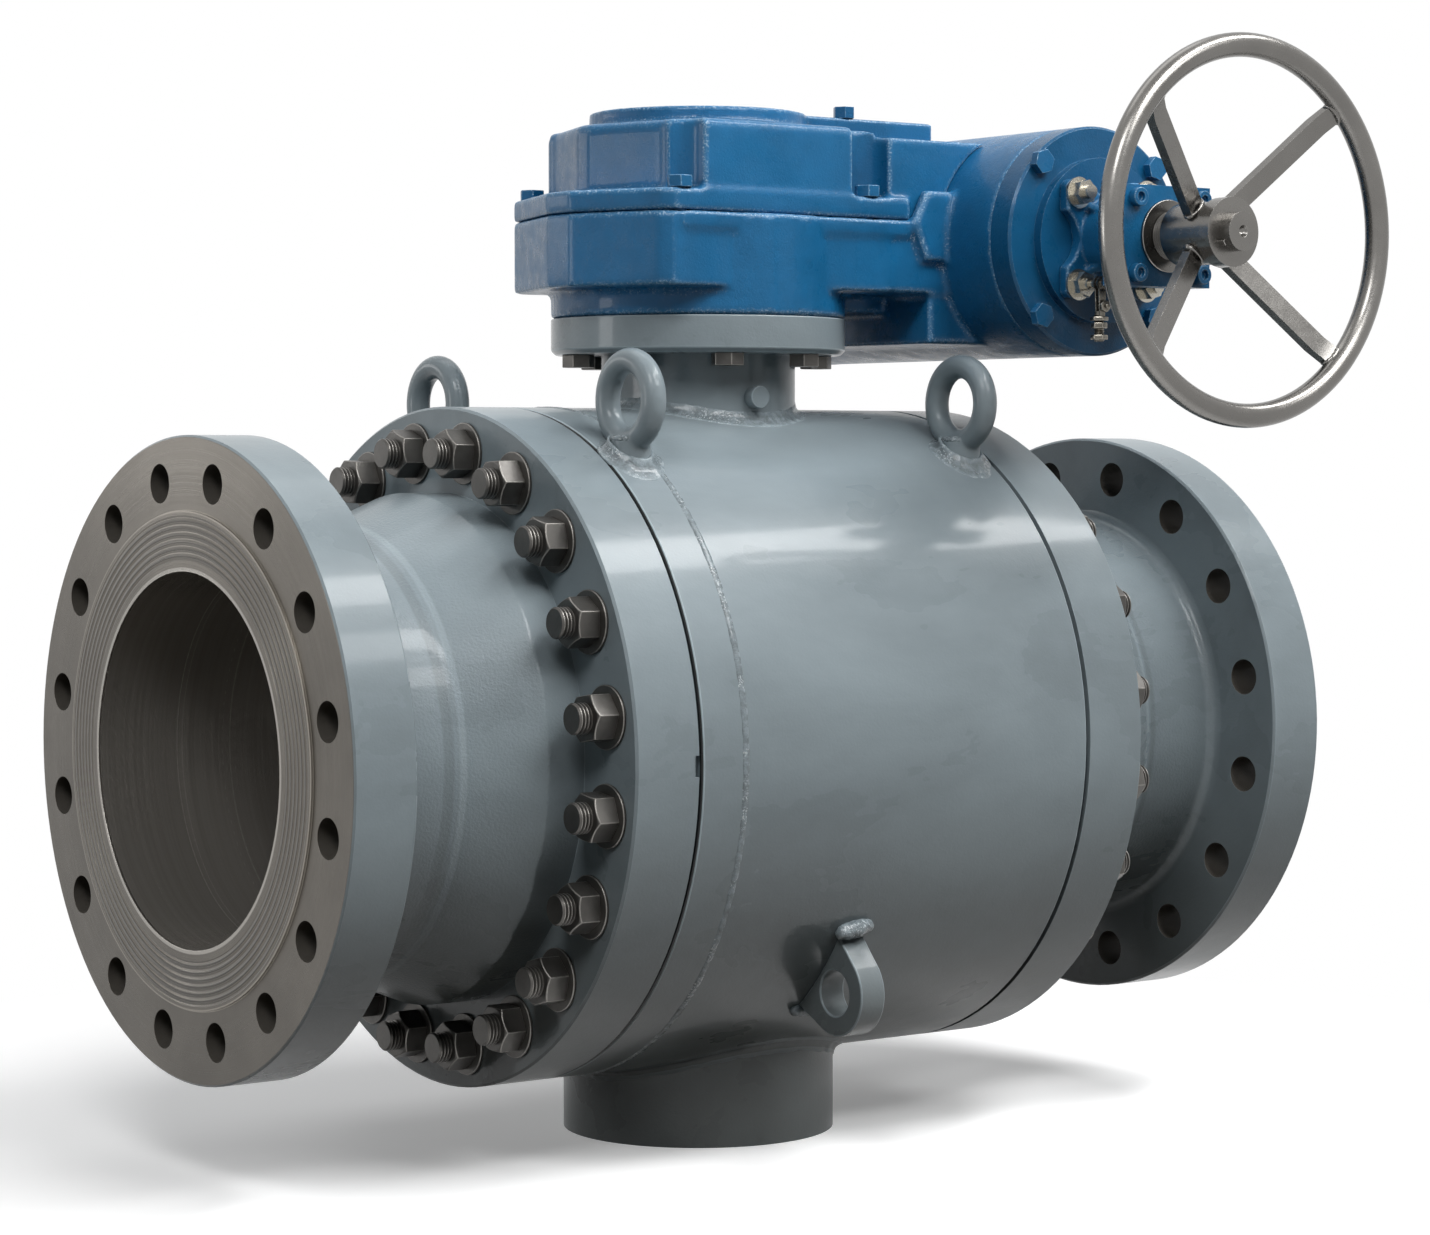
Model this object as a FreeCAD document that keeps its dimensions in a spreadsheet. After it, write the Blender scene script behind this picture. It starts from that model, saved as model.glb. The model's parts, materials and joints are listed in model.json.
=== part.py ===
"""Geared trunnion ball valve, NPS 12 class 300, as an assembly of separate pieces.

Millimetres, +Z up. The origin is at the middle of the pedestal's foot, X runs along the
pipe and the handwheel is on the -Y side. A size named "rise" is a height over the pipe axis.
"""
import FreeCAD, Part
import Sketcher
import math
import os

SIZES = {
    # pipe side: end flange, neck and closure
    "bore_radius": 151.5,
    "half_length": 507,
    "flange_thickness": 58,
    "raised_face_radius": 200,
    "raised_face_height": 2,
    "flange_bolt_pitch": 225.425,
    "flange_hole_radius": 15.9,
    "flange_hole_count": 16,
    "flange_rim": 34.925,
    "edge_break": 2,
    "neck_wall": 30.5,
    "neck_fillet": 12,
    "ridge_proud": 6,
    "ridge_place": 363,
    "ridge_slope": 12,
    "hub_gap": 5.9,
    "hub_length": 34,
    "hub_fillet_share": 0.4,
    "closure_thickness": 63,
    "rim_groove_width": 3,
    "rim_groove_depth": 8,
    "pry_slot_width": 7,
    "pry_slot_height": 17,
    "spigot_length": 31,
    "gasket_depth": 5,
    "gasket_width": 6,
    "gasket_inset": 15,
    # body
    "body_half_length": 203,
    "body_rim": 36.3,
    "running_gap": 0.05,
    "loose_gap": 0.3,
    # ball and seats
    "ball_radius": 220,
    "ball_room": 8,
    "ball_top_wall": 44.5,
    "seat_wall": 26.5,
    "seat_length": 69,
    "seat_gap": 2,
    "insert_gap": 0.35,
    "insert_inset": 8.5,
    "insert_width": 10,
    "insert_depth": 11,
    "spring_room": 6,
    "spring_sheet": 2.2,
    "spring_margin": 2,
    # studs that hold the closures
    "stud_count": 20,
    "stud_inset": 20.4,
    "stud_radius": 14.5,
    "stud_clearance": 1.5,
    "stud_depth": 42,
    "stud_protrusion": 25,
    "nut_half_width": 24.5,
    "nut_height": 27,
    "nut_face_radius": 23.8,
    "closure_washer_radius": 29.5,
    "closure_washer_thickness": 4,
    # stem, its neck and the disc that carries the gear operator
    "tube_radius": 85,
    "tube_lift": 18,
    "neck_height": 46.5,
    "disc_thickness": 31.5,
    "disc_rim": 21.8,
    "disc_chamfer": 4,
    "trunnion_radius": 62,
    "trunnion_bearing_wall": 8,
    "trunnion_bearing_height": 28,
    "stem_radius": 38,
    "stem_collar_radius": 47,
    "stem_collar_height": 14,
    "stem_socket_lift": 2,
    "stem_top_reach": 11,
    "bush_wall": 6,
    "bush_length": 34,
    "seal_height": 8,
    "seal_count": 3,
    "gland_flange_radius": 58,
    "gland_flange_thickness": 12,
    "gland_flange_gap": 2,
    "gland_sleeve": 12.6,
    "drive_key_width": 20,
    "drive_key_height": 30,
    "drive_key_depth": 8,
    "lower_pin_radius": 50,
    "lower_socket_depth": 34,
    "lower_flange_radius": 78,
    "lower_flange_thickness": 18,
    "lower_flange_sunk": 12.7,
    "lower_bush_wall": 6,
    "lower_bush_length": 30,
    "thrust_disc_thickness": 4,
    "lower_screw_count": 6,
    "lower_screw_pitch": 65,
    "lower_screw_radius": 6,
    "lower_screw_head": 9,
    "lower_screw_reach": 30,
    "pedestal_radius": 119,
    "pedestal_wall": 22,
    "pedestal_floor": 12,
    "pedestal_room": 32,
    "mounting_bolt_count": 8,
    "bolt_circle_gap": 22,
    "mounting_bolt_radius": 8,
    "mounting_head_half": 12.5,
    "mounting_head_height": 11,
    "mounting_bolt_reach": 48,
    "neck_plug_drop": 37.2,
    "neck_plug_angle": -92,
    "neck_plug_radius": 9.5,
    "neck_plug_reach": 11,
    "neck_plug_depth": 12,
    # lifting eyes and side lugs
    "eye_inset": 27,
    "eye_y": 148,
    "eye_lift": 45.8,
    "eye_collar_height": 14.8,
    "eye_ring_radius": 32.5,
    "eye_bar_radius": 10.5,
    "eye_collar_radius": 17,
    "lug_x": -19.5,
    "lug_angle": 40.4,
    "lug_top_angle": 32.2,
    "lug_foot_angle": 49.3,
    "lug_reach": 24,
    "lug_root_depth": 2,
    "lug_hole_radius": 19,
    "lug_radius": 36,
    "lug_thickness": 25,
    # gear case and cover
    "cover_flange": 18.7,
    "case_half_x": 120,
    "case_bulge": 156,
    "case_bulge_near": 30,
    "case_bulge_far": 4,
    "case_base_height": 23.3,
    "case_height": 63,
    "case_proud": 3,
    "case_corner": 9,
    "case_recess": 2.5,
    "lip_height": 14,
    "lip_start": -103,
    "lip_break_start": -10,
    "lip_break_end": 30,
    "lip_end": 140,
    "dome_half_x": 97,
    "dome_side_y": 80,
    "dome_bulge": 122,
    "dome_bulge_half": 8,
    "dome_edge": 7,
    "dome_side_wall": 12.5,
    "dome_wall": 15,
    "case_edge": 5,
    "pocket_radius": 21,
    "plate_radius": 95,
    "plate_step": 14,
    "pad_step": 1,
    "pad_wall": 10,
    "pad_reach": 24,
    "box_drop": 7,
    "foot_rib_drop": 89,
    "foot_rib_start": 168,
    "side_pad_start": 141,
    "side_pad_end": 219,
    "side_pad_below": 35,
    "side_pad_above": 26,
    "side_pad_slant": 14,
    "side_pad_shoulder": 28,
    "side_pad_proud": 5,
    "cover_bolt_x": 100,
    "cover_bolt_y": 111.5,
    "cover_bolt_radius": 6,
    "cover_bolt_reach": 46,
    "cover_head_half": 10,
    "cover_head_height": 10,
    "plug_head_half": 8.5,
    "plug_head_height": 10,
    "filler_plug_x": 129,
    "filler_plug_y": -42,
    "nipple_x": 62,
    "nipple_y": 22,
    "nipple_radius": 8,
    # drum
    "drum_radius": 100,
    "drum_drop": 18,
    "drum_wall": 13,
    "drum_front": 185,
    "drum_back": 160,
    "end_cover_thickness": 25,
    "end_boss_radius": 72,
    "end_boss_height": 9,
    "end_bolt_radius": 5,
    "end_head_half": 9.5,
    "end_head_height": 8,
    "end_bolt_count": 4,
    "rear_cover_thickness": 14,
    "rear_bolt_count": 6,
    "rear_boss_radius": 48,
    # gears
    "gear_module": 5,
    "stem_gear_teeth": 40,
    "pinion_teeth": 24,
    "gear_width": 34,
    "gear_bottom_gap": 22,
    "gear_top_gap": 5,
    "pinion_width": 38,
    "gear_hub_radius": 56,
    "gear_hub_lift": 3.3,
    "gear_web_inner": 62,
    "gear_web_outer": 84,
    "gear_web_recess": 8,
    "gear_backlash": 0.5,
    "tip_clearance": 3,
    "wheel_teeth": 36,
    "wheel_width": 34,
    "wheel_rim_inner": 68,
    "wheel_hub_width": 42,
    "worm_radius": 27.5,
    "worm_turns": 6,
    "worm_backlash": 0.9,
    "stem_key_width": 20,
    "stem_key_depth": 7,
    "stem_key_length": 60,
    "wheel_key_width": 12,
    "layshaft_radius": 22,
    "layshaft_foot": 30,
    "layshaft_top_reach": 21,
    "layshaft_bearing_radius": 40,
    "layshaft_bearing_height": 14,
    "output_bearing_radius": 72,
    "output_bearing_height": 14,
    "worm_shaft_radius": 20,
    "shaft_clearance": 1.2,
    "worm_bearing_radius": 36,
    "worm_bearing_width": 18,
    # bearing bracket in front of the drum
    "bracket_foot_thickness": 11,
    "bracket_foot_radius": 69,
    "bracket_foot_half": 51,
    "bracket_length": 81,
    "bracket_waist_radius": 28,
    "bracket_waist_depth": 14,
    "bracket_nut_pitch": 56,
    "bracket_stud_radius": 6,
    "bracket_stud_depth": 20,
    "bracket_nut_half": 9.5,
    "bracket_nut_height": 10,
    "bracket_washer_radius": 13.5,
    "bracket_washer_thickness": 2.5,
    "bracket_stud_end": 6,
    "bracket_tube_radius": 36,
    "bracket_flange_thickness": 14,
    "bracket_plate_thickness": 14,
    "bracket_plate_half_x": 50,
    "bracket_plate_half_z": 43,
    "bracket_bearing_radius": 30,
    "plate_screw_x": 37,
    "plate_screw_z": 32,
    "plate_screw_radius": 5,
    "plate_screw_head": 8,
    "plate_screw_socket": 4,
    "seal_ring_radius": 31,
    "seal_ring_thickness": 3,
    # handwheel
    "nose_radius": 16.5,
    "nose_end": 12,
    "nose_centre_radius": 5,
    "nose_centre_depth": 8,
    "hub_standoff": 19,
    "wheel_hub_length": 61,
    "hub_back_radius": 26.5,
    "hub_front_radius": 29.3,
    "hub_front_length": 15,
    "rim_radius": 154,
    "rim_bar_radius": 10.2,
    "rim_standoff": 17,
    "spoke_count": 4,
    "spoke_width": 17,
    "spoke_depth": 10,
    "spoke_root_set": 31,
    "spoke_kink_set": 13,
    "spoke_kink_radius": 130,
    "hub_key_size": 5,
    "hub_key_angle": 213,
    # lock lever on the lower bracket stud
    "lever_rod_radius": 3.5,
    "lever_gap": 7.5,
    "lever_width": 12,
    "lever_drop": 28,
    "lever_thickness": 4,
    "lever_end_radius": 4.5,
    "lever_end_length": 22,
    "lever_nut_half": 7,
    "lever_nut_height": 5,
}

doc = FreeCAD.newDocument("geared_trunnion_ball_valve")
sheet = doc.addObject("Spreadsheet::Sheet", "Sizes")
for row, (alias, cell_value) in enumerate(SIZES.items(), start=1):
    sheet.set(f"A{row}", alias)
    sheet.set(f"B{row}", str(cell_value))
    sheet.setAlias(f"B{row}", alias)
doc.recompute()

PARTS = []


class Size:
    """A number together with the expression that gives it from the sheet."""

    def __init__(self, value, text):
        self.value = value
        self.text = text

    def __add__(self, other):
        other = as_size(other)
        return Size(self.value + other.value, f"({self.text} + {other.text})")

    def __sub__(self, other):
        other = as_size(other)
        return Size(self.value - other.value, f"({self.text} - {other.text})")

    def __mul__(self, other):
        other = as_size(other)
        return Size(self.value * other.value, f"({self.text} * {other.text})")

    def __truediv__(self, other):
        other = as_size(other)
        return Size(self.value / other.value, f"({self.text} / {other.text})")

    def __rtruediv__(self, other):
        return as_size(other) / self

    def __radd__(self, other):
        return as_size(other) + self

    def __rsub__(self, other):
        return as_size(other) - self

    def __rmul__(self, other):
        return as_size(other) * self

    def __neg__(self):
        return Size(-self.value, f"(0 - {self.text})")


def as_size(number):
    return number if isinstance(number, Size) else Size(float(number), f"{number}")


def root(square):
    return Size(math.sqrt(square.value), f"sqrt({square.text})")


def cosine(degrees):
    angle = as_size(degrees)
    return Size(math.cos(math.radians(angle.value)), f"cos({angle.text})")


def sine(degrees):
    angle = as_size(degrees)
    return Size(math.sin(math.radians(angle.value)), f"sin({angle.text})")


class Dimensions:
    """Every size of the sheet as an attribute."""

    def __getattr__(self, name):
        return Size(float(sheet.get(name)), f"Sizes.{name}")


dim = Dimensions()


def stack_sizes():
    """Sizes that follow from others, because one piece goes round, through or on top of another."""
    dim.flange_radius = dim.flange_bolt_pitch + dim.flange_rim
    dim.neck_radius = dim.bore_radius + dim.neck_wall
    dim.ridge_radius = dim.neck_radius + dim.ridge_proud
    dim.seat_outer_radius = dim.bore_radius + dim.seat_wall
    dim.insert_inner_radius = dim.bore_radius + dim.insert_inset
    dim.cavity_radius = dim.ball_radius + dim.ball_room
    dim.stud_pitch = dim.cavity_radius + dim.stud_inset
    dim.stud_hole_radius = dim.stud_radius + dim.stud_clearance
    dim.hub_radius = dim.stud_pitch - dim.closure_washer_radius - dim.hub_gap
    dim.hub_fillet = (dim.hub_radius - dim.ridge_radius) * dim.hub_fillet_share
    dim.body_radius = dim.stud_pitch + dim.body_rim
    dim.lower_flange_rise = dim.lower_flange_sunk - dim.body_radius
    under_pin = dim.lower_flange_thickness + dim.lower_screw_radius * 2 - dim.lower_flange_rise
    dim.axis_height = dim.pedestal_floor + dim.pedestal_room + under_pin


def stack_neck():
    """Heights in the neck, from the disc down through seals, bush and collar to the ball's trunnion."""
    dim.ball_flat_rise = dim.bore_radius + dim.ball_top_wall
    dim.stem_bottom_rise = dim.ball_flat_rise + dim.stem_socket_lift
    dim.tube_bottom_rise = dim.ball_flat_rise + dim.tube_lift
    dim.disc_bottom_rise = dim.body_radius + dim.neck_height
    dim.seals_top_rise = dim.disc_bottom_rise - dim.gland_sleeve
    dim.bush_top_rise = dim.seals_top_rise - dim.seal_height * dim.seal_count
    dim.shoulder_rise = dim.bush_top_rise - dim.bush_length
    dim.trunnion_top_rise = dim.shoulder_rise - dim.stem_collar_height - dim.loose_gap * 2
    dim.disc_top_rise = dim.disc_bottom_rise + dim.disc_thickness
    dim.disc_bore_radius = dim.gland_flange_radius + dim.gland_flange_gap
    dim.mounting_bolt_pitch = dim.tube_radius + dim.bolt_circle_gap
    dim.disc_radius = dim.mounting_bolt_pitch + dim.disc_rim
    dim.neck_plug_rise = dim.disc_bottom_rise - dim.neck_plug_drop


def place_welded_pieces():
    """Eyes and lugs, by how far they stand out of the body."""
    dim.eye_x = dim.body_half_length - dim.eye_inset
    surface_rise = root(dim.body_radius * dim.body_radius - dim.eye_y * dim.eye_y)
    dim.eye_rise = surface_rise + dim.eye_lift
    dim.eye_collar_top_rise = surface_rise + dim.eye_collar_height
    eye_distance = dim.body_radius + dim.lug_reach
    root_distance = dim.body_radius - dim.lug_root_depth
    dim.lug_y = eye_distance * cosine(dim.lug_angle)
    dim.lug_rise = -eye_distance * sine(dim.lug_angle)
    dim.lug_top_y = root_distance * cosine(dim.lug_top_angle)
    dim.lug_top_rise = -root_distance * sine(dim.lug_top_angle)
    dim.lug_foot_y = root_distance * cosine(dim.lug_foot_angle)
    dim.lug_foot_rise = -root_distance * sine(dim.lug_foot_angle)


def stack_gear_housing():
    """Heights from the disc to the top of the gear housing, and what has to clear the gears."""
    dim.case_base_radius = dim.disc_radius - dim.running_gap * 2
    dim.case_floor_rise = dim.disc_top_rise + dim.case_base_height
    dim.split_rise = dim.case_floor_rise + dim.case_height
    dim.gear_hub_bottom_rise = dim.disc_top_rise + dim.gear_hub_lift
    dim.gear_bottom_rise = dim.split_rise + dim.gear_bottom_gap
    dim.ceiling_rise = dim.gear_bottom_rise + (dim.gear_width + dim.pinion_width) / 2 + dim.gear_top_gap
    dim.dome_top_rise = dim.ceiling_rise + dim.dome_wall
    dim.plate_top_rise = dim.dome_top_rise + dim.plate_step
    dim.pad_top_rise = dim.plate_top_rise + dim.pad_step
    dim.box_top_rise = dim.dome_top_rise - dim.box_drop
    dim.stem_top_rise = dim.ceiling_rise + dim.stem_top_reach
    dim.side_pad_bottom_rise = dim.split_rise - dim.side_pad_below
    dim.side_pad_top_rise = dim.split_rise + dim.side_pad_above
    dim.drum_rise = dim.split_rise - dim.drum_drop
    dim.foot_rib_rise = dim.drum_rise - dim.foot_rib_drop
    dim.wheel_bottom_rise = dim.drum_rise - dim.wheel_width / 2
    dim.layshaft_bottom_rise = dim.wheel_bottom_rise - dim.layshaft_foot
    dim.layshaft_top_rise = dim.ceiling_rise + dim.layshaft_top_reach
    dim.layshaft_x = dim.gear_module * (dim.stem_gear_teeth + dim.pinion_teeth) / 2
    dim.drum_x = dim.layshaft_x + dim.gear_module * dim.wheel_teeth / 2 + dim.worm_radius
    gear_room = dim.gear_module * (dim.stem_gear_teeth / 2 + 1) + dim.tip_clearance / 2
    dim.dome_half_y = gear_room + dim.dome_side_wall
    dim.case_half_y = dim.dome_half_y + dim.case_proud
    dim.box_half_y = dim.dome_half_y - dim.case_proud
    dim.foot_rib_half_y = dim.box_half_y - dim.edge_break / 2
    dim.pad_half_y = dim.layshaft_bearing_radius + dim.pad_wall
    dim.pad_end = dim.layshaft_x + dim.layshaft_bearing_radius + dim.pad_reach


def stack_handwheel():
    """Places in front of the drum, from its front end out to the rim."""
    dim.shaft_hole_radius = dim.worm_shaft_radius + dim.shaft_clearance
    foot_plane = dim.drum_front + dim.end_cover_thickness + dim.end_boss_height
    dim.bracket_plate_front = foot_plane + dim.bracket_length
    nut_front = dim.bracket_foot_thickness + dim.bracket_washer_thickness + dim.bracket_nut_height
    dim.lever_plane = foot_plane + nut_front + dim.bracket_stud_end + dim.lever_gap
    dim.hub_back = dim.bracket_plate_front + dim.hub_standoff
    dim.hub_front = dim.hub_back + dim.wheel_hub_length
    dim.spoke_root_plane = dim.hub_back + dim.spoke_root_set
    dim.rim_plane = dim.hub_front + dim.rim_standoff
    dim.spoke_kink_plane = dim.rim_plane - dim.spoke_kink_set


stack_sizes()
stack_neck()
place_welded_pieces()
stack_gear_housing()
stack_handwheel()


def rise(height):
    return dim.axis_height + height


TURNS = {
    "Z": FreeCAD.Rotation(),
    "X": FreeCAD.Rotation(FreeCAD.Vector(0, 1, 0), 90),
    "Y": FreeCAD.Rotation(FreeCAD.Vector(1, 0, 0), -90),
    "-Z": FreeCAD.Rotation(FreeCAD.Vector(1, 0, 0), 180),
    "-X": FreeCAD.Rotation(FreeCAD.Vector(0, 1, 0), -90),
    "-Y": FreeCAD.Rotation(FreeCAD.Vector(1, 0, 0), 90),
}
ORIGIN = (0, 0, 0)
STEM_AXIS = (FreeCAD.Vector(), FreeCAD.Vector(0, 0, 1))


def bind(thing, **sizes):
    for name, given in sizes.items():
        thing.setExpression(name, as_size(given).text)


def place(thing, at, along="Z"):
    thing.Placement = FreeCAD.Placement(FreeCAD.Vector(), TURNS[along])
    for axis, given in zip("xyz", at):
        thing.setExpression(f"Placement.Base.{axis}", as_size(given).text)
    return thing


def cylinder(radius, length, at=ORIGIN, along="Z"):
    made = doc.addObject("Part::Cylinder", "Cylinder")
    bind(made, Radius=radius, Height=length)
    return place(made, at, along)


def cone(radius, end_radius, length, at=ORIGIN, along="Z"):
    made = doc.addObject("Part::Cone", "Cone")
    bind(made, Radius1=radius, Radius2=end_radius, Height=length)
    return place(made, at, along)


def box(x_size, y_size, z_size, at):
    """A box whose lowest corner is at the given place."""
    made = doc.addObject("Part::Box", "Box")
    bind(made, Length=x_size, Width=y_size, Height=z_size)
    return place(made, at)


def torus(ring_radius, bar_radius, at, along="Z"):
    made = doc.addObject("Part::Torus", "Torus")
    bind(made, Radius1=ring_radius, Radius2=bar_radius)
    return place(made, at, along)


def hexagon(half_width, length, at=ORIGIN, along="Z"):
    """A hexagon bar, given half its width across flats."""
    made = doc.addObject("Part::Prism", "Prism")
    made.Polygon = 6
    bind(made, Circumradius=half_width / cosine(30), Height=length)
    return place(made, at, along)


def fuse(*pieces):
    made = doc.addObject("Part::MultiFuse", "Fuse")
    made.Shapes = list(pieces)
    made.Refine = True
    return made


def cut(base, *tools):
    made = doc.addObject("Part::Cut", "Cut")
    made.Base = base
    made.Tool = tools[0] if len(tools) == 1 else fuse(*tools)
    return made


def common(base, tool):
    made = doc.addObject("Part::Common", "Common")
    made.Base = base
    made.Tool = tool
    return made


def solid_of(thing):
    doc.recompute()
    return thing.Shape.copy()


def group(shapes):
    """Separate solids that share one piece, for what repeats."""
    made = doc.addObject("Part::Feature", "Group")
    made.Shape = Part.Compound(list(shapes))
    return made


def spread(shape, count, centre, axis, first=0.0):
    """Copies of a shape, evenly spaced round an axis."""
    copies = []
    for k in range(round(as_size(count).value)):
        copy = shape.copy()
        copy.rotate(centre, axis, as_size(first).value + 360.0 * k / as_size(count).value)
        copies.append(copy)
    return copies


def moved(shape, x=0, y=0, z=0):
    copy = shape.copy()
    copy.translate(FreeCAD.Vector(as_size(x).value, as_size(y).value, as_size(z).value))
    return copy


def part(name, thing):
    thing.Label = name
    PARTS.append(thing)
    return thing


def sketch_on(body, plane, offset=0):
    drawing = body.newObject("Sketcher::SketchObject", "Sketch")
    planes = [f for f in body.Origin.OriginFeatures if f.Role == plane]
    drawing.AttachmentSupport = [(planes[0], "")]
    drawing.MapMode = "FlatFace"
    drawing.setExpression("AttachmentOffset.Base.z", as_size(offset).text)
    return drawing


def draw_outline(drawing, points):
    """A closed run of straight lines, with both coordinates of each point bound to the sizes."""
    points = [tuple(as_size(given) for given in point) for point in points]
    corners = [FreeCAD.Vector(across.value, up.value, 0) for across, up in points]
    for start, end in zip(corners, corners[1:] + corners[:1]):
        drawing.addGeometry(Part.LineSegment(start, end), False)
    for k in range(len(points)):
        drawing.addConstraint(Sketcher.Constraint("Coincident", k, 2, (k + 1) % len(points), 1))
    for k, point in enumerate(points):
        for kind, given in zip(("DistanceX", "DistanceY"), point):
            index = drawing.addConstraint(Sketcher.Constraint(kind, -1, 1, k, 1, given.value))
            drawing.setExpression(f"Constraints[{index}]", given.text)


def turned(points, along, at):
    """A solid of revolution. Each point gives its place along the axis and its radius."""
    body = doc.addObject("PartDesign::Body", "Turned")
    if along == "X":
        drawing = sketch_on(body, "XZ_Plane")
        draw_outline(drawing, points)
    elif along == "Y":
        drawing = sketch_on(body, "XY_Plane")
        draw_outline(drawing, [(radius, place_along) for place_along, radius in points])
    else:
        drawing = sketch_on(body, "XZ_Plane")
        draw_outline(drawing, [(radius, place_along) for place_along, radius in points])
    revolution = body.newObject("PartDesign::Revolution", "Revolution")
    revolution.Profile = drawing
    revolution.ReferenceAxis = (drawing, ["H_Axis" if along == "X" else "V_Axis"])
    revolution.Angle = 360
    body.Tip = revolution
    place(body, at)
    doc.recompute()
    return body


def padded(points, plane, start, length, at=ORIGIN):
    """A straight-sided solid on an outline, from its start along the plane's normal."""
    body = doc.addObject("PartDesign::Body", "Padded")
    drawing = sketch_on(body, plane, start)
    draw_outline(drawing, points)
    pad = body.newObject("PartDesign::Pad", "Pad")
    pad.Profile = drawing
    bind(pad, Length=length)
    body.Tip = pad
    place(body, at)
    doc.recompute()
    return body


def ring_edges(feature, rings):
    """Names of the full circles about the turning axis, each picked by its place and radius."""
    names = []
    for place_along, radius in rings:
        for k, edge in enumerate(feature.Shape.Edges, start=1):
            curve = edge.Curve
            if not isinstance(curve, Part.Circle) or abs(curve.Radius - as_size(radius).value) > 0.01:
                continue
            distance = abs(curve.Center.dot(curve.Axis))
            if abs(distance - abs(as_size(place_along).value)) < 0.01:
                names.append(f"Edge{k}")
    return names


def ease_rings(body, kind, amount, rings):
    """Fillets or chamfers on rings of a turned body."""
    feature = body.Tip
    eased = body.newObject(f"PartDesign::{kind}", kind)
    eased.Base = (feature, ring_edges(feature, rings))
    bind(eased, **{"Radius" if kind == "Fillet" else "Size": amount})
    body.Tip = eased
    doc.recompute()


def ease_corners(body, radius, wanted):
    """Fillets on the edges of a padded body that the test picks."""
    feature = body.Tip
    fillet = body.newObject("PartDesign::Fillet", "Fillet")
    names = [f"Edge{k}" for k, edge in enumerate(feature.Shape.Edges, start=1) if wanted(edge)]
    fillet.Base = (feature, names)
    bind(fillet, Radius=radius)
    body.Tip = fillet
    doc.recompute()


def upright_on_left(edge):
    start, end = (corner.Point for corner in edge.Vertexes)
    return start.x < 0 and abs(start.x - end.x) < 0.01 and abs(start.y - end.y) < 0.01


def above_split(edge):
    return max(corner.Point.z for corner in edge.Vertexes) > dim.split_rise.value + 0.01


def drill_ring(body, plane, radius, pitch, count, first, start, depth):
    """A ring of holes. Each runs from its start against the plane's normal."""
    drawing = sketch_on(body, plane, start)
    across, up = pitch * cosine(first), pitch * sine(first)
    centre = FreeCAD.Vector(across.value, up.value, 0)
    drawing.addGeometry(Part.Circle(centre, FreeCAD.Vector(0, 0, 1), as_size(radius).value), False)
    for kind, given in (("DistanceX", across), ("DistanceY", up)):
        index = drawing.addConstraint(Sketcher.Constraint(kind, -1, 1, 0, 3, given.value))
        drawing.setExpression(f"Constraints[{index}]", given.text)
    index = drawing.addConstraint(Sketcher.Constraint("Radius", 0, as_size(radius).value))
    drawing.setExpression(f"Constraints[{index}]", as_size(radius).text)
    pocket = body.newObject("PartDesign::Pocket", "Pocket")
    pocket.Profile = drawing
    bind(pocket, Length=depth)
    pattern = body.newObject("PartDesign::PolarPattern", "PolarPattern")
    pattern.Originals = [pocket]
    pattern.Axis = (drawing, ["N_Axis"])
    pattern.Angle = 360
    bind(pattern, Occurrences=count)
    body.Tip = pattern
    doc.recompute()


def across_ball(radius):
    """How far the ball's surface lies from its middle along the pipe, at a radius from the pipe axis."""
    return root(dim.ball_radius * dim.ball_radius - radius * radius)


closure_face = dim.body_half_length + dim.closure_thickness
seat_front_inner = across_ball(dim.bore_radius) + dim.seat_gap
seat_front_outer = across_ball(dim.seat_outer_radius) + dim.seat_gap
seat_back = seat_front_outer + dim.seat_length
pocket_floor = seat_back + dim.spring_room
gasket_place = dim.body_half_length - dim.gasket_inset
pipe_axis = (0, 0, dim.axis_height)


def body_shell():
    """The turned middle, bored for the ball, with blind stud holes, a neck hole and a pin seat."""
    shell = turned(
        [
            (-dim.body_half_length, dim.cavity_radius),
            (dim.body_half_length, dim.cavity_radius),
            (dim.body_half_length, dim.body_radius),
            (-dim.body_half_length, dim.body_radius),
        ],
        "X",
        pipe_axis,
    )
    rims = [(dim.body_half_length, dim.body_radius)]
    ease_rings(shell, "Chamfer", dim.edge_break, rims)
    first = 180 / dim.stud_count
    for start in (dim.body_half_length, dim.stud_depth - dim.body_half_length):
        drill_ring(shell, "YZ_Plane", dim.stud_radius, dim.stud_pitch, dim.stud_count, first,
                   start, dim.stud_depth)
    neck_hole = cylinder(dim.tube_radius, dim.body_radius, pipe_axis)
    pin_hole = cylinder(dim.lower_pin_radius, dim.body_radius, pipe_axis, "-Z")
    pin_seat = cylinder(dim.lower_flange_radius, dim.body_radius, (0, 0, rise(dim.lower_flange_rise)), "-Z")
    screw_hole = solid_of(
        cylinder(dim.lower_screw_radius, dim.lower_screw_reach,
                 (dim.lower_screw_pitch, 0, rise(dim.lower_flange_rise)))
    )
    screw_holes = group(spread(screw_hole, dim.lower_screw_count, *STEM_AXIS))
    return part("body_shell", cut(shell, neck_hole, pin_hole, pin_seat, screw_holes))


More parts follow.
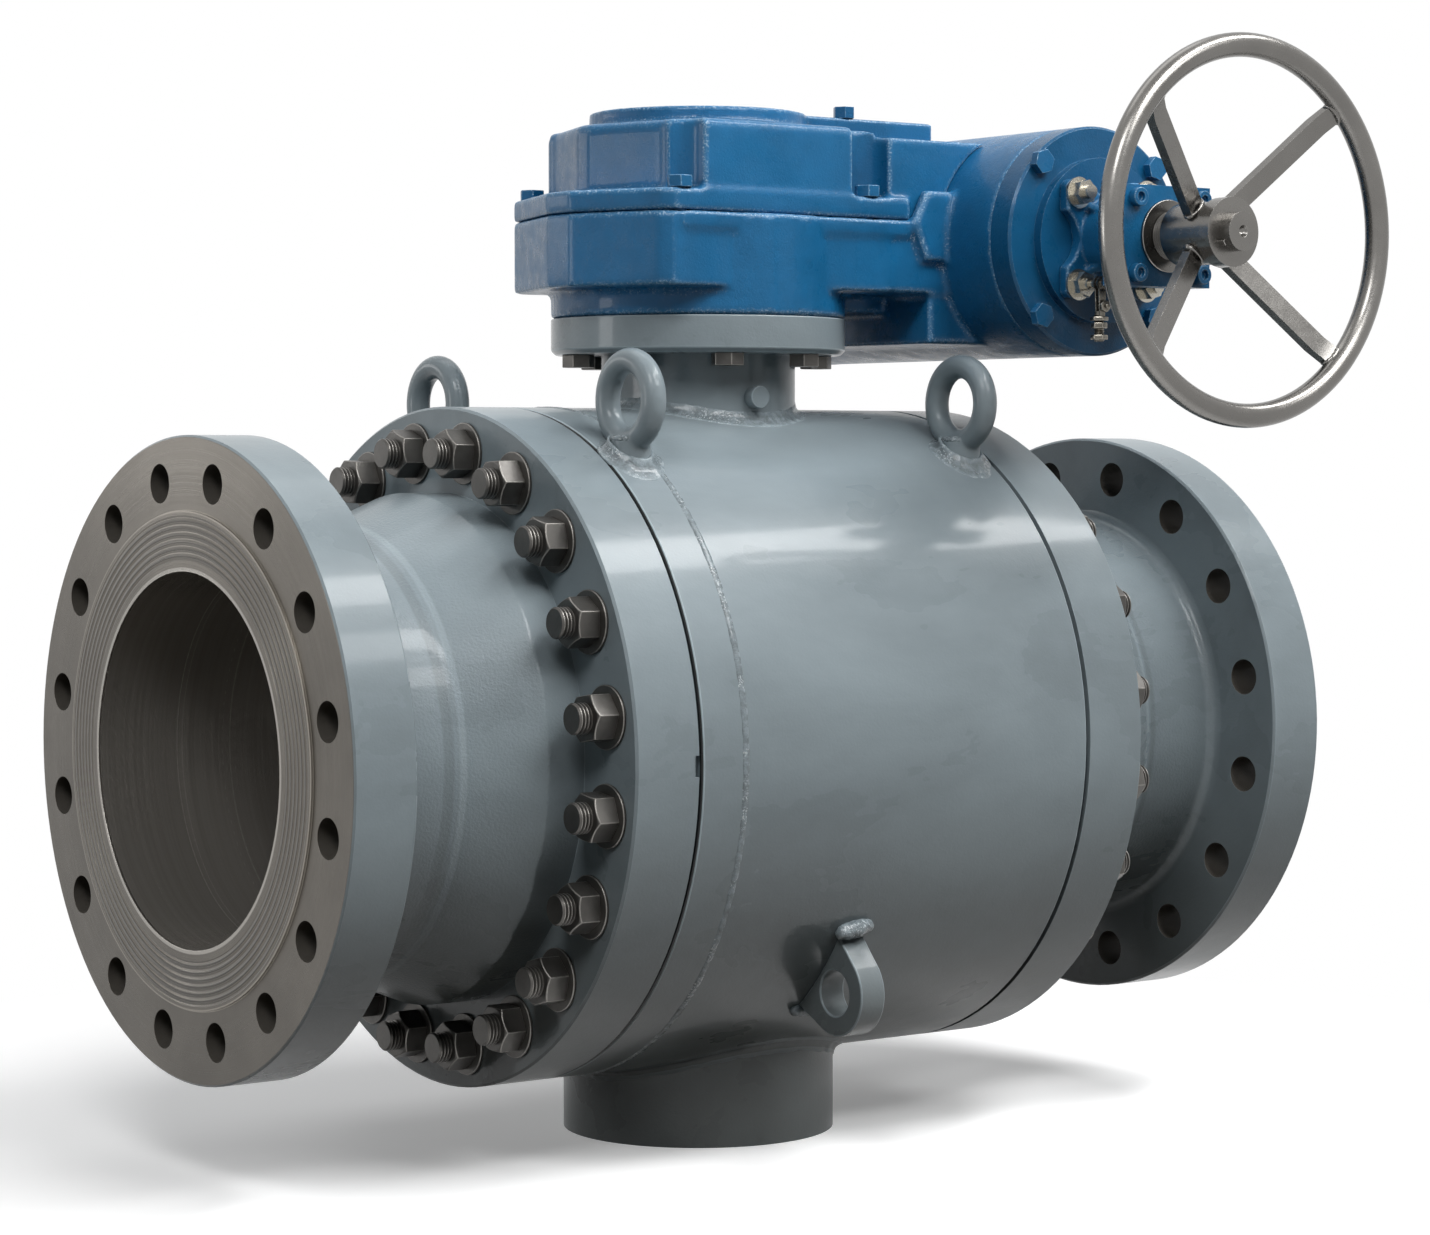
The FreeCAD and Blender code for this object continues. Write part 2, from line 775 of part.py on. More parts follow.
def closure(name, side):
    """End flange, neck and studded flange in one forging, with the seat pocket inside.

    The left one has two slots in its rim for the bar that pries it off.
    """
    outline = [
        (dim.half_length, dim.bore_radius),
        (dim.half_length, dim.raised_face_radius),
        (dim.half_length - dim.raised_face_height, dim.raised_face_radius),
        (dim.half_length - dim.raised_face_height, dim.flange_radius),
        (dim.half_length - dim.flange_thickness, dim.flange_radius),
        (dim.half_length - dim.flange_thickness, dim.neck_radius),
        (dim.ridge_place + dim.ridge_slope, dim.neck_radius),
        (dim.ridge_place, dim.ridge_radius),
        (closure_face + dim.hub_length, dim.hub_radius),
        (closure_face, dim.hub_radius),
        (closure_face, dim.body_radius),
        (dim.body_half_length + dim.rim_groove_width, dim.body_radius),
        (dim.body_half_length + dim.rim_groove_width, dim.body_radius - dim.rim_groove_depth),
        (dim.body_half_length, dim.body_radius - dim.rim_groove_depth),
        (dim.body_half_length, dim.cavity_radius),
        (gasket_place + dim.gasket_width, dim.cavity_radius),
        (gasket_place + dim.gasket_width, dim.cavity_radius - dim.gasket_depth),
        (gasket_place, dim.cavity_radius - dim.gasket_depth),
        (gasket_place, dim.cavity_radius),
        (dim.body_half_length - dim.spigot_length, dim.cavity_radius),
        (dim.body_half_length - dim.spigot_length, dim.seat_outer_radius),
        (pocket_floor, dim.seat_outer_radius),
        (pocket_floor, dim.bore_radius),
    ]
    forging = turned([(side * along, radius) for along, radius in outline], "X", pipe_axis)
    ease_rings(forging, "Fillet", dim.neck_fillet,
               [(dim.half_length - dim.flange_thickness, dim.neck_radius)])
    ease_rings(forging, "Fillet", dim.hub_fillet, [(closure_face + dim.hub_length, dim.hub_radius)])
    ease_rings(forging, "Chamfer", dim.edge_break, [
        (dim.half_length - dim.raised_face_height, dim.flange_radius),
        (dim.half_length - dim.flange_thickness, dim.flange_radius),
        (closure_face, dim.body_radius),
    ])
    if side > 0:
        bolt_start, stud_start = dim.half_length, closure_face
    else:
        bolt_start, stud_start = dim.flange_thickness - dim.half_length, -dim.body_half_length
    drill_ring(forging, "YZ_Plane", dim.flange_hole_radius, dim.flange_bolt_pitch, dim.flange_hole_count,
               180 / dim.flange_hole_count, bolt_start, dim.flange_thickness)
    drill_ring(forging, "YZ_Plane", dim.stud_hole_radius, dim.stud_pitch, dim.stud_count,
               180 / dim.stud_count, stud_start, dim.closure_thickness)
    if side > 0:
        return part(name, forging)
    slot_x = -(dim.body_half_length + dim.pry_slot_width)
    slots = [
        box(dim.pry_slot_width, dim.rim_groove_depth * 2, dim.pry_slot_height,
            (slot_x, middle - dim.rim_groove_depth, rise(-dim.pry_slot_height / 2)))
        for middle in (dim.body_radius, -dim.body_radius)
    ]
    return part(name, cut(forging, *slots))


def both_sides(points):
    """A ring about the pipe axis and its twin on the other side, as two solids."""
    right = solid_of(turned(points, "X", pipe_axis))
    left = right.mirror(FreeCAD.Vector(), FreeCAD.Vector(1, 0, 0))
    return group([left, right])


def seats():
    """Seat rings with their soft inserts and the spring discs that push them to the ball."""
    insert_outer = dim.insert_inner_radius + dim.insert_width
    groove_floor = across_ball(dim.insert_inner_radius) + dim.insert_depth
    slope = (seat_front_inner - seat_front_outer) / (dim.seat_outer_radius - dim.bore_radius)

    def front(radius):
        return seat_front_outer + slope * (dim.seat_outer_radius - radius)

    part("seat_rings", both_sides([
        (seat_front_inner, dim.bore_radius),
        (seat_back, dim.bore_radius),
        (seat_back, dim.seat_outer_radius),
        (seat_front_outer, dim.seat_outer_radius),
        (front(insert_outer), insert_outer),
        (groove_floor, insert_outer),
        (groove_floor, dim.insert_inner_radius),
        (front(dim.insert_inner_radius), dim.insert_inner_radius),
    ]))
    part("seat_inserts", both_sides([
        (across_ball(dim.insert_inner_radius) + dim.insert_gap, dim.insert_inner_radius),
        (groove_floor, dim.insert_inner_radius),
        (groove_floor, insert_outer),
        (across_ball(insert_outer) + dim.insert_gap, insert_outer),
    ]))
    disc_outer = dim.seat_outer_radius - dim.spring_margin
    disc_inner = dim.bore_radius + dim.spring_margin
    part("seat_springs", both_sides([
        (seat_back, disc_outer),
        (pocket_floor - dim.spring_sheet, disc_inner),
        (pocket_floor, disc_inner),
        (seat_back + dim.spring_sheet, disc_outer),
    ]))
    part("closure_gaskets", both_sides([
        (gasket_place, dim.cavity_radius - dim.gasket_depth),
        (gasket_place, dim.cavity_radius),
        (gasket_place + dim.gasket_width, dim.cavity_radius),
        (gasket_place + dim.gasket_width, dim.cavity_radius - dim.gasket_depth),
    ]))


def closure_fasteners():
    """Studs screwed into the body, each with a washer and a nut outside the closure."""
    pipe = (FreeCAD.Vector(0, 0, dim.axis_height.value), FreeCAD.Vector(1, 0, 0))
    washer_face = closure_face + dim.closure_washer_thickness
    stud_end = washer_face + dim.nut_height + dim.stud_protrusion
    stud_base = dim.body_half_length - dim.stud_depth
    centre_z = rise(dim.stud_pitch)
    stud = cylinder(dim.stud_radius, stud_end - stud_base, (stud_base, 0, centre_z), "X")
    washer = cut(
        cylinder(dim.closure_washer_radius, dim.closure_washer_thickness, (closure_face, 0, centre_z), "X"),
        cylinder(dim.stud_hole_radius, dim.closure_washer_thickness, (closure_face, 0, centre_z), "X"),
    )
    nut_outside = common(
        hexagon(dim.nut_half_width, dim.nut_height, (washer_face, 0, centre_z), "X"),
        cone(dim.nut_face_radius + dim.nut_height * cosine(30) / sine(30), dim.nut_face_radius,
             dim.nut_height, (washer_face, 0, centre_z), "X"),
    )
    nut = cut(nut_outside, cylinder(dim.stud_radius, dim.nut_height, (washer_face, 0, centre_z), "X"))
    for name, piece in (("closure_studs", stud), ("closure_washers", washer), ("closure_nuts", nut)):
        ring = spread(solid_of(piece), dim.stud_count, *pipe, first=180 / dim.stud_count)
        twins = [s.mirror(FreeCAD.Vector(), FreeCAD.Vector(1, 0, 0)) for s in ring]
        part(name, group(ring + twins))


def ball():
    """Bored sphere with flats, an upper trunnion keyed to the stem and a lower socket for the pin."""
    sphere = doc.addObject("Part::Sphere", "Sphere")
    bind(sphere, Radius=dim.ball_radius)
    place(sphere, pipe_axis)
    between_flats = cylinder(dim.ball_radius + dim.edge_break, dim.ball_flat_rise * 2,
                             (0, 0, rise(-dim.ball_flat_rise)))
    trunnion = cylinder(dim.trunnion_radius, dim.trunnion_top_rise - dim.bore_radius,
                        (0, 0, rise(dim.bore_radius)))
    bore = cylinder(dim.bore_radius, dim.ball_radius * 2, (-dim.ball_radius, 0, dim.axis_height), "X")
    stem_socket = cylinder(dim.stem_radius, dim.trunnion_top_rise, (0, 0, rise(dim.stem_bottom_rise)))
    pin_socket = cylinder(
        dim.lower_pin_radius + dim.lower_bush_wall + dim.running_gap,
        dim.lower_socket_depth + dim.ball_radius,
        (0, 0, rise(dim.lower_socket_depth - dim.ball_flat_rise)), "-Z",
    )
    outside = fuse(common(sphere, between_flats), trunnion)
    return part("ball", cut(outside, bore, stem_socket, pin_socket, drive_key_block()))


def drive_key_block():
    """The bar of both drive keys, right through the stem."""
    reach = dim.stem_radius + dim.drive_key_depth
    return box(reach * 2, dim.drive_key_width, dim.drive_key_height,
               (-reach, -dim.drive_key_width / 2, rise(dim.trunnion_top_rise - dim.drive_key_height)))


def stem_key_block():
    """The bar that holds the key between stem and gear hub."""
    depth = dim.stem_key_depth
    return box(depth * 2, dim.stem_key_width, dim.stem_key_length,
               (dim.stem_radius - depth, -dim.stem_key_width / 2,
                rise(dim.gear_bottom_rise + dim.gear_width - dim.stem_key_length)))


def stem():
    """Stem with its blow-out collar, the two drive keys and the key of the gear hub."""
    collar_bottom = dim.trunnion_top_rise + dim.loose_gap
    shaft = turned(
        [
            (dim.stem_bottom_rise, 0),
            (dim.stem_bottom_rise, dim.stem_radius),
            (collar_bottom, dim.stem_radius),
            (collar_bottom, dim.stem_collar_radius),
            (collar_bottom + dim.stem_collar_height, dim.stem_collar_radius),
            (collar_bottom + dim.stem_collar_height, dim.stem_radius),
            (dim.stem_top_rise, dim.stem_radius),
            (dim.stem_top_rise, 0),
        ],
        "Z",
        pipe_axis,
    )
    key_seat = dim.stem_radius - dim.drive_key_depth
    middle = box(key_seat * 2, dim.drive_key_width, dim.drive_key_height,
                 (-key_seat, -dim.drive_key_width / 2, rise(dim.trunnion_top_rise - dim.drive_key_height)))
    drive_keys = cut(drive_key_block(), middle)
    part("drive_keys", drive_keys)
    part("stem_key", stem_key_block())
    return part("stem", cut(shaft, drive_keys, stem_key_block()))


def neck():
    """Tube set into the body, stepped inside for the trunnion bearing, the bush and the seals."""
    wide = dim.trunnion_radius + dim.trunnion_bearing_wall
    narrow = dim.stem_radius + dim.bush_wall
    tube = turned(
        [
            (dim.tube_bottom_rise, wide),
            (dim.shoulder_rise, wide),
            (dim.shoulder_rise, narrow),
            (dim.disc_bottom_rise, narrow),
            (dim.disc_bottom_rise, dim.tube_radius),
            (dim.tube_bottom_rise, dim.tube_radius),
        ],
        "Z",
        pipe_axis,
    )
    part("neck", cut(tube, neck_plug_bar(dim.neck_plug_depth)))
    part("neck_plug", neck_plug_bar(dim.neck_plug_depth + dim.neck_plug_reach))
    bearing_bottom = dim.trunnion_top_rise - dim.trunnion_bearing_height
    part("upper_trunnion_bearing", turned_ring(
        dim.trunnion_radius + dim.running_gap, wide, bearing_bottom, dim.trunnion_top_rise))
    stem_hole = dim.stem_radius + dim.running_gap
    part("stem_bush", turned_ring(stem_hole, narrow, dim.shoulder_rise,
                                  dim.bush_top_rise))
    seal = solid_of(turned_ring(stem_hole, narrow, dim.bush_top_rise, dim.bush_top_rise + dim.seal_height))
    rings = [moved(seal, z=dim.seal_height * k) for k in range(round(dim.seal_count.value))]
    part("stem_seals", group(rings))
    part("gland_ring", turned(
        [
            (dim.seals_top_rise, stem_hole),
            (dim.seals_top_rise, narrow),
            (dim.disc_bottom_rise, narrow),
            (dim.disc_bottom_rise, dim.gland_flange_radius),
            (dim.disc_bottom_rise + dim.gland_flange_thickness, dim.gland_flange_radius),
            (dim.disc_bottom_rise + dim.gland_flange_thickness, stem_hole),
        ],
        "Z",
        pipe_axis,
    ))


def neck_plug_bar(length):
    """A round bar set radially in the neck, measured from its inner end."""
    bar = cylinder(dim.neck_plug_radius, length)
    inner = dim.tube_radius - dim.neck_plug_depth
    bar.Placement = FreeCAD.Placement(
        FreeCAD.Vector(),
        FreeCAD.Rotation(FreeCAD.Vector(0, 0, 1), dim.neck_plug_angle.value) * TURNS["X"],
    )
    bind(bar, **{
        "Placement.Base.x": inner * cosine(dim.neck_plug_angle),
        "Placement.Base.y": inner * sine(dim.neck_plug_angle),
        "Placement.Base.z": rise(dim.neck_plug_rise),
    })
    return bar


def turned_ring(inner, outer, bottom, top):
    """A plain ring about the stem."""
    return turned([(bottom, inner), (bottom, outer), (top, outer), (top, inner)], "Z", pipe_axis)


def mounting_disc():
    """Disc on the neck, with the bolts that come up through it into the gear case."""
    disc = turned_ring(dim.disc_bore_radius, dim.disc_radius, dim.disc_bottom_rise, dim.disc_top_rise)
    ease_rings(disc, "Chamfer", dim.disc_chamfer, [(dim.disc_bottom_rise, dim.disc_radius)])
    drill_ring(disc, "XY_Plane", dim.mounting_bolt_radius, dim.mounting_bolt_pitch, dim.mounting_bolt_count,
               180 / dim.mounting_bolt_count, dim.disc_top_rise, dim.disc_top_rise - dim.disc_bottom_rise)
    part("mounting_disc", disc)
    at = (dim.mounting_bolt_pitch, 0, rise(dim.disc_bottom_rise))
    bolt = fuse(
        cylinder(dim.mounting_bolt_radius, dim.mounting_bolt_reach, at),
        hexagon(dim.mounting_head_half, dim.mounting_head_height, at, "-Z"),
    )
    part("mounting_bolts", group(spread(
        solid_of(bolt), dim.mounting_bolt_count, *STEM_AXIS, first=180 / dim.mounting_bolt_count)))


def lower_trunnion():
    """Pin through the bottom of the body, its screws, its bush and the disc that bears the ball."""
    disc_top = dim.lower_socket_depth - dim.ball_flat_rise - dim.running_gap
    pin_top = disc_top - dim.thrust_disc_thickness
    flange_bottom = dim.lower_flange_rise - dim.lower_flange_thickness
    pin = turned(
        [
            (pin_top, 0),
            (pin_top, dim.lower_pin_radius),
            (dim.lower_flange_rise, dim.lower_pin_radius),
            (dim.lower_flange_rise, dim.lower_flange_radius),
            (flange_bottom, dim.lower_flange_radius),
            (flange_bottom, 0),
        ],
        "Z",
        pipe_axis,
    )
    drill_ring(pin, "XY_Plane", dim.lower_screw_radius, dim.lower_screw_pitch, dim.lower_screw_count, 0,
               dim.lower_flange_rise, dim.lower_flange_thickness)
    part("lower_trunnion", pin)
    part("thrust_disc", cylinder(dim.lower_pin_radius, dim.thrust_disc_thickness, (0, 0, rise(pin_top))))
    bush_outer = dim.lower_pin_radius + dim.lower_bush_wall
    part("lower_trunnion_bush", turned_ring(
        dim.lower_pin_radius, bush_outer, pin_top - dim.lower_bush_length, pin_top))
    at = (dim.lower_screw_pitch, 0, rise(flange_bottom))
    screw = fuse(
        cylinder(dim.lower_screw_radius, dim.lower_screw_reach + dim.lower_flange_thickness, at),
        cylinder(dim.lower_screw_head, dim.lower_screw_radius * 2, at, "-Z"),
    )
    part("lower_trunnion_screws", group(spread(solid_of(screw), dim.lower_screw_count, *STEM_AXIS)))


def body_cylinder():
    """The outside of the body, to fit what is welded on it."""
    start = (-dim.body_half_length, 0, dim.axis_height)
    return cylinder(dim.body_radius, dim.body_half_length * 2, start, "X")


def pedestal():
    """Tube foot with a closed floor, shaped on top to the body."""
    foot = cylinder(dim.pedestal_radius, dim.axis_height)
    hollow = cylinder(dim.pedestal_radius - dim.pedestal_wall, dim.axis_height, (0, 0, dim.pedestal_floor))
    return part("pedestal", cut(foot, hollow, body_cylinder()))


def lifting_eyes():
    """Four rings on welded collars."""
    ring = torus(dim.eye_ring_radius, dim.eye_bar_radius, (dim.eye_x, dim.eye_y, rise(dim.eye_rise)), "X")
    collar = cylinder(dim.eye_collar_radius, dim.eye_collar_top_rise,
                      (dim.eye_x, dim.eye_y, dim.axis_height))
    eye = solid_of(cut(fuse(ring, collar), body_cylinder()))
    across = eye.mirror(FreeCAD.Vector(), FreeCAD.Vector(0, 1, 0))
    eyes = [eye, across]
    eyes += [s.mirror(FreeCAD.Vector(), FreeCAD.Vector(1, 0, 0)) for s in (eye, across)]
    return part("lifting_eyes", group(eyes))


def lug_touch(across, up, side):
    """Direction from the lug's eye, in degrees, where a line to a corner touches the eye's edge."""
    distance = math.hypot(across.value, up.value)
    lean = math.degrees(math.atan2(up.value, across.value))
    return lean + side * math.degrees(math.acos(dim.lug_radius.value / distance))


def side_lugs():
    """A drop-shaped plate with a hole, low on each side of the body."""
    upper = lug_touch(dim.lug_top_y - dim.lug_y, dim.lug_top_rise - dim.lug_rise, -1)
    lower = lug_touch(dim.lug_foot_y - dim.lug_y, dim.lug_foot_rise - dim.lug_rise, 1)
    web = padded(
        [
            (dim.lug_top_y, dim.lug_top_rise),
            (dim.lug_y + dim.lug_radius * cosine(upper), dim.lug_rise + dim.lug_radius * sine(upper)),
            (dim.lug_y, dim.lug_rise),
            (dim.lug_y + dim.lug_radius * cosine(lower), dim.lug_rise + dim.lug_radius * sine(lower)),
            (dim.lug_foot_y, dim.lug_foot_rise),
            (dim.lug_foot_y, dim.lug_top_rise),
        ],
        "YZ_Plane",
        dim.lug_x - dim.lug_thickness / 2,
        dim.lug_thickness,
        pipe_axis,
    )
    start = (dim.lug_x - dim.lug_thickness / 2, dim.lug_y, rise(dim.lug_rise))
    eye = cylinder(dim.lug_radius, dim.lug_thickness, start, "X")
    hole = cylinder(dim.lug_hole_radius, dim.lug_thickness, start, "X")
    lug = solid_of(cut(fuse(web, eye), hole, body_cylinder()))
    return part("side_lugs", group([lug, lug.mirror(FreeCAD.Vector(), FreeCAD.Vector(0, 1, 0))]))


drum_axis = (dim.drum_x, 0, rise(dim.drum_rise))
DRUM_LINE = (FreeCAD.Vector(dim.drum_x.value, 0, drum_axis[2].value), FreeCAD.Vector(0, 1, 0))


def drum_bar(radius, front, back):
    """A round bar on the drum's axis, from its front place to its back place along Y."""
    return cylinder(radius, back - front, (dim.drum_x, front, rise(dim.drum_rise)), "Y")


def on_layshaft(radius, bottom, top):
    return cylinder(radius, top - bottom, (dim.layshaft_x, 0, rise(bottom)))


def on_stem(radius, bottom, top):
    return cylinder(radius, top - bottom, (0, 0, rise(bottom)))


def case_outline(half_x, half_y, step_x, side_y):
    """The blue housing seen from above, bulged on the left and plain toward the drum."""
    return [
        (dim.drum_x, side_y),
        (step_x, side_y),
        (step_x, half_y),
        (dim.case_corner - half_x, half_y),
        (-half_x, half_y - dim.case_corner),
        (half_x - dim.case_half_x - dim.case_bulge, dim.case_bulge_far),
        (half_x - dim.case_half_x - dim.case_bulge, -dim.case_bulge_near),
        (-half_x, dim.case_corner - half_y),
        (dim.case_corner - half_x, -half_y),
        (step_x, -half_y),
        (step_x, -side_y),
        (dim.drum_x, -side_y),
    ]


def case_lips():
    """Thick edges under the parting line, front and back, each in two lengths."""
    lips = []
    for start, end in ((dim.lip_start, dim.lip_break_start), (dim.lip_break_end, dim.lip_end)):
        for low_y in (-dim.case_half_y, dim.case_half_y - dim.case_recess * 2):
            lips.append(box(end - start, dim.case_recess * 2, dim.lip_height,
                            (start, low_y, rise(dim.split_rise - dim.lip_height))))
    return lips


def side_pads():
    """Five-sided bosses on the front and back of the case, reaching up past the parting line."""
    outline = [
        (dim.side_pad_start + dim.side_pad_slant, dim.side_pad_bottom_rise),
        (dim.side_pad_end, dim.side_pad_bottom_rise),
        (dim.side_pad_end, dim.side_pad_top_rise),
        (dim.side_pad_start + dim.side_pad_slant, dim.side_pad_top_rise),
        (dim.side_pad_start, dim.side_pad_top_rise - dim.side_pad_shoulder),
    ]
    thickness = dim.case_half_y + dim.side_pad_proud - dim.box_half_y
    pads = []
    for back in (-dim.box_half_y, dim.box_half_y + thickness):
        pads.append(padded(outline, "XZ_Plane", -back, thickness, pipe_axis))
    return pads


def gear_case():
    """Lower casting with the drum, hollow for the worm wheel and the worm."""
    base = on_stem(dim.case_base_radius, dim.disc_top_rise, dim.split_rise)
    recessed = dim.case_half_y - dim.case_recess
    inset = dim.edge_break / 2
    outline = case_outline(dim.case_half_x, recessed, dim.case_half_x, dim.dome_half_y - inset)
    housing = padded(outline, "XY_Plane", dim.case_floor_rise, dim.case_height, pipe_axis)
    ease_corners(housing, dim.case_edge, upright_on_left)
    drum = drum_bar(dim.drum_radius, -dim.drum_front, dim.drum_back)
    foot_rib = box(dim.drum_x - dim.foot_rib_start, dim.foot_rib_half_y * 2,
                   dim.split_rise - dim.foot_rib_rise,
                   (dim.foot_rib_start, -dim.foot_rib_half_y, rise(dim.foot_rib_rise)))
    boss = on_layshaft(dim.layshaft_bearing_radius + dim.drum_wall,
                       dim.layshaft_bottom_rise - dim.drum_wall, dim.split_rise)
    bolt_hole = solid_of(cylinder(dim.mounting_bolt_radius, dim.mounting_bolt_reach,
                                  (dim.mounting_bolt_pitch, 0, rise(dim.disc_bottom_rise))))
    bolt_holes = group(spread(bolt_hole, dim.mounting_bolt_count, *STEM_AXIS,
                              first=180 / dim.mounting_bolt_count))
    cover_bolts_below = group(at_cover_bolts(cylinder(
        dim.cover_bolt_radius, dim.cover_bolt_reach,
        (dim.cover_bolt_x, dim.cover_bolt_y, rise(dim.split_rise + dim.cover_flange)), "-Z")))
    bearing_top = dim.disc_top_rise + dim.output_bearing_height
    hub_clearance = dim.gear_hub_radius + dim.loose_gap * 2
    lower_bearing_top = dim.layshaft_bottom_rise + dim.layshaft_bearing_height
    hollow = [
        on_stem(dim.output_bearing_radius, dim.disc_top_rise, bearing_top),
        on_stem(hub_clearance, dim.disc_top_rise, dim.split_rise),
        on_layshaft(wheel_tip() + dim.tip_clearance, lower_bearing_top, dim.split_rise),
        on_layshaft(dim.layshaft_bearing_radius, dim.layshaft_bottom_rise, dim.split_rise),
        on_layshaft(pinion_tip() + dim.tip_clearance, dim.split_rise, dim.ceiling_rise),
        drum_bar(dim.drum_radius - dim.drum_wall, -dim.drum_front, dim.drum_back),
    ]
    above = box(dim.case_bulge * 3, dim.box_half_y * 2, dim.dome_top_rise,
                (-dim.case_bulge, -dim.box_half_y, rise(dim.split_rise)))
    outside = fuse(cut(fuse(base, housing, foot_rib, boss, *case_lips(), *side_pads()), above), drum)
    return part("gear_case", cut(outside, *hollow, bolt_holes, cover_bolts_below, drum_bolt_holes()))


def at_cover_bolts(piece):
    """The four corner places of the cover bolts, from the piece at the first one."""
    shape = solid_of(piece)
    mirrored = shape.mirror(FreeCAD.Vector(), FreeCAD.Vector(0, 1, 0))
    pair = [shape, mirrored]
    return pair + [s.mirror(FreeCAD.Vector(), FreeCAD.Vector(1, 0, 0)) for s in pair]


def drum_bolt_holes():
    """Tapped holes in both ends of the drum."""
    front = solid_of(drum_bolt(dim.end_bolt_radius, -dim.drum_front, dim.drum_wall))
    back = solid_of(drum_bolt(dim.end_bolt_radius, dim.drum_back - dim.drum_wall, dim.drum_wall))
    return group(spread(front, dim.end_bolt_count, *DRUM_LINE, first=45)
                 + spread(back, dim.rear_bolt_count, *DRUM_LINE))


def drum_bolt(radius, front, length):
    pitch = (dim.drum_radius * 2 - dim.drum_wall) / 2
    return cylinder(radius, length, (dim.drum_x + pitch, front, rise(dim.drum_rise)), "Y")


def wheel_tip():
    return dim.gear_module * (dim.wheel_teeth / 2 + 1)


def pinion_tip():
    return dim.gear_module * (dim.pinion_teeth / 2 + 1)


def gear_cover():
    """Upper casting: flange, eight-sided dome with bolt pockets, and the box that reaches the drum."""
    inset = dim.edge_break / 2
    flange = padded(case_outline(dim.case_half_x - inset, dim.case_half_y - inset, dim.side_pad_start,
                                 dim.box_half_y),
                    "XY_Plane", dim.split_rise, dim.cover_flange, pipe_axis)
    sides = [
        (dim.case_half_x, dim.dome_half_y),
        (-dim.dome_half_x, dim.dome_half_y),
        (-dim.dome_half_x, dim.dome_side_y),
        (-dim.dome_bulge, dim.dome_bulge_half),
    ]
    dome = padded(sides + [(x, -y) for x, y in reversed(sides)], "XY_Plane", dim.split_rise,
                  dim.dome_top_rise - dim.split_rise, pipe_axis)
    ease_corners(dome, dim.dome_edge, above_split)
    reach = box(dim.drum_x - dim.cover_bolt_x, dim.box_half_y * 2, dim.box_top_rise - dim.split_rise,
                (dim.cover_bolt_x, -dim.box_half_y, rise(dim.split_rise)))
    plate = on_stem(dim.plate_radius, dim.split_rise, dim.plate_top_rise)
    pad = box(dim.pad_end, dim.pad_half_y * 2, dim.pad_top_rise - dim.split_rise,
              (0, -dim.pad_half_y, rise(dim.split_rise)))
    pockets = group(at_cover_bolts(cylinder(
        dim.pocket_radius, dim.dome_top_rise, (dim.cover_bolt_x, dim.cover_bolt_y,
                                               rise(dim.split_rise + dim.cover_flange)))))
    bolt_foot = (dim.cover_bolt_x, dim.cover_bolt_y, rise(dim.split_rise))
    bolt_holes = group(at_cover_bolts(cylinder(dim.cover_bolt_radius, dim.cover_flange, bolt_foot)))
    bearing_top = dim.ceiling_rise + dim.output_bearing_height
    hollow = [
        on_stem(stem_gear_tip() + dim.tip_clearance / 2, dim.split_rise, dim.ceiling_rise),
        on_layshaft(pinion_tip() + dim.tip_clearance, dim.split_rise, dim.ceiling_rise),
        on_stem(dim.output_bearing_radius, dim.ceiling_rise, bearing_top),
        on_layshaft(dim.layshaft_bearing_radius, dim.ceiling_rise, dim.layshaft_top_rise + dim.loose_gap),
        drum_bar(dim.drum_radius + dim.loose_gap, -dim.drum_front * 2, dim.drum_back * 2),
    ]
    outside = fuse(flange, cut(fuse(dome, reach), pockets), cut(fuse(plate, pad), pockets))
    return part("gear_cover", cut(outside, *hollow, bolt_holes, filler_hole(), nipple_hole()))


def stem_gear_tip():
    return dim.gear_module * (dim.stem_gear_teeth / 2 + 1)


def filler_hole():
    return cylinder(dim.end_bolt_radius, dim.end_bolt_radius * 2,
                    (dim.filler_plug_x, dim.filler_plug_y, rise(dim.pad_top_rise)), "-Z")


def nipple_hole():
    return cylinder(dim.end_bolt_radius, dim.end_bolt_radius * 2,
                    (dim.nipple_x, dim.nipple_y, rise(dim.pad_top_rise)), "-Z")


def cover_fittings():
    """Cover bolts, the hexagon filler plug and the round grease nipple."""
    at = (dim.cover_bolt_x, dim.cover_bolt_y, rise(dim.split_rise + dim.cover_flange))
    bolt = fuse(cylinder(dim.cover_bolt_radius, dim.cover_bolt_reach, at, "-Z"),
                hexagon(dim.cover_head_half, dim.cover_head_height, at))
    part("cover_bolts", group(at_cover_bolts(bolt)))
    plug_at = (dim.filler_plug_x, dim.filler_plug_y, rise(dim.pad_top_rise))
    part("filler_plug", fuse(filler_hole(), hexagon(dim.plug_head_half, dim.plug_head_height, plug_at)))
    nipple_at = (dim.nipple_x, dim.nipple_y, rise(dim.pad_top_rise))
    cap = cone(dim.nipple_radius, dim.nipple_radius / 2, dim.nipple_radius, nipple_at)
    part("grease_nipple", fuse(nipple_hole(), cap))


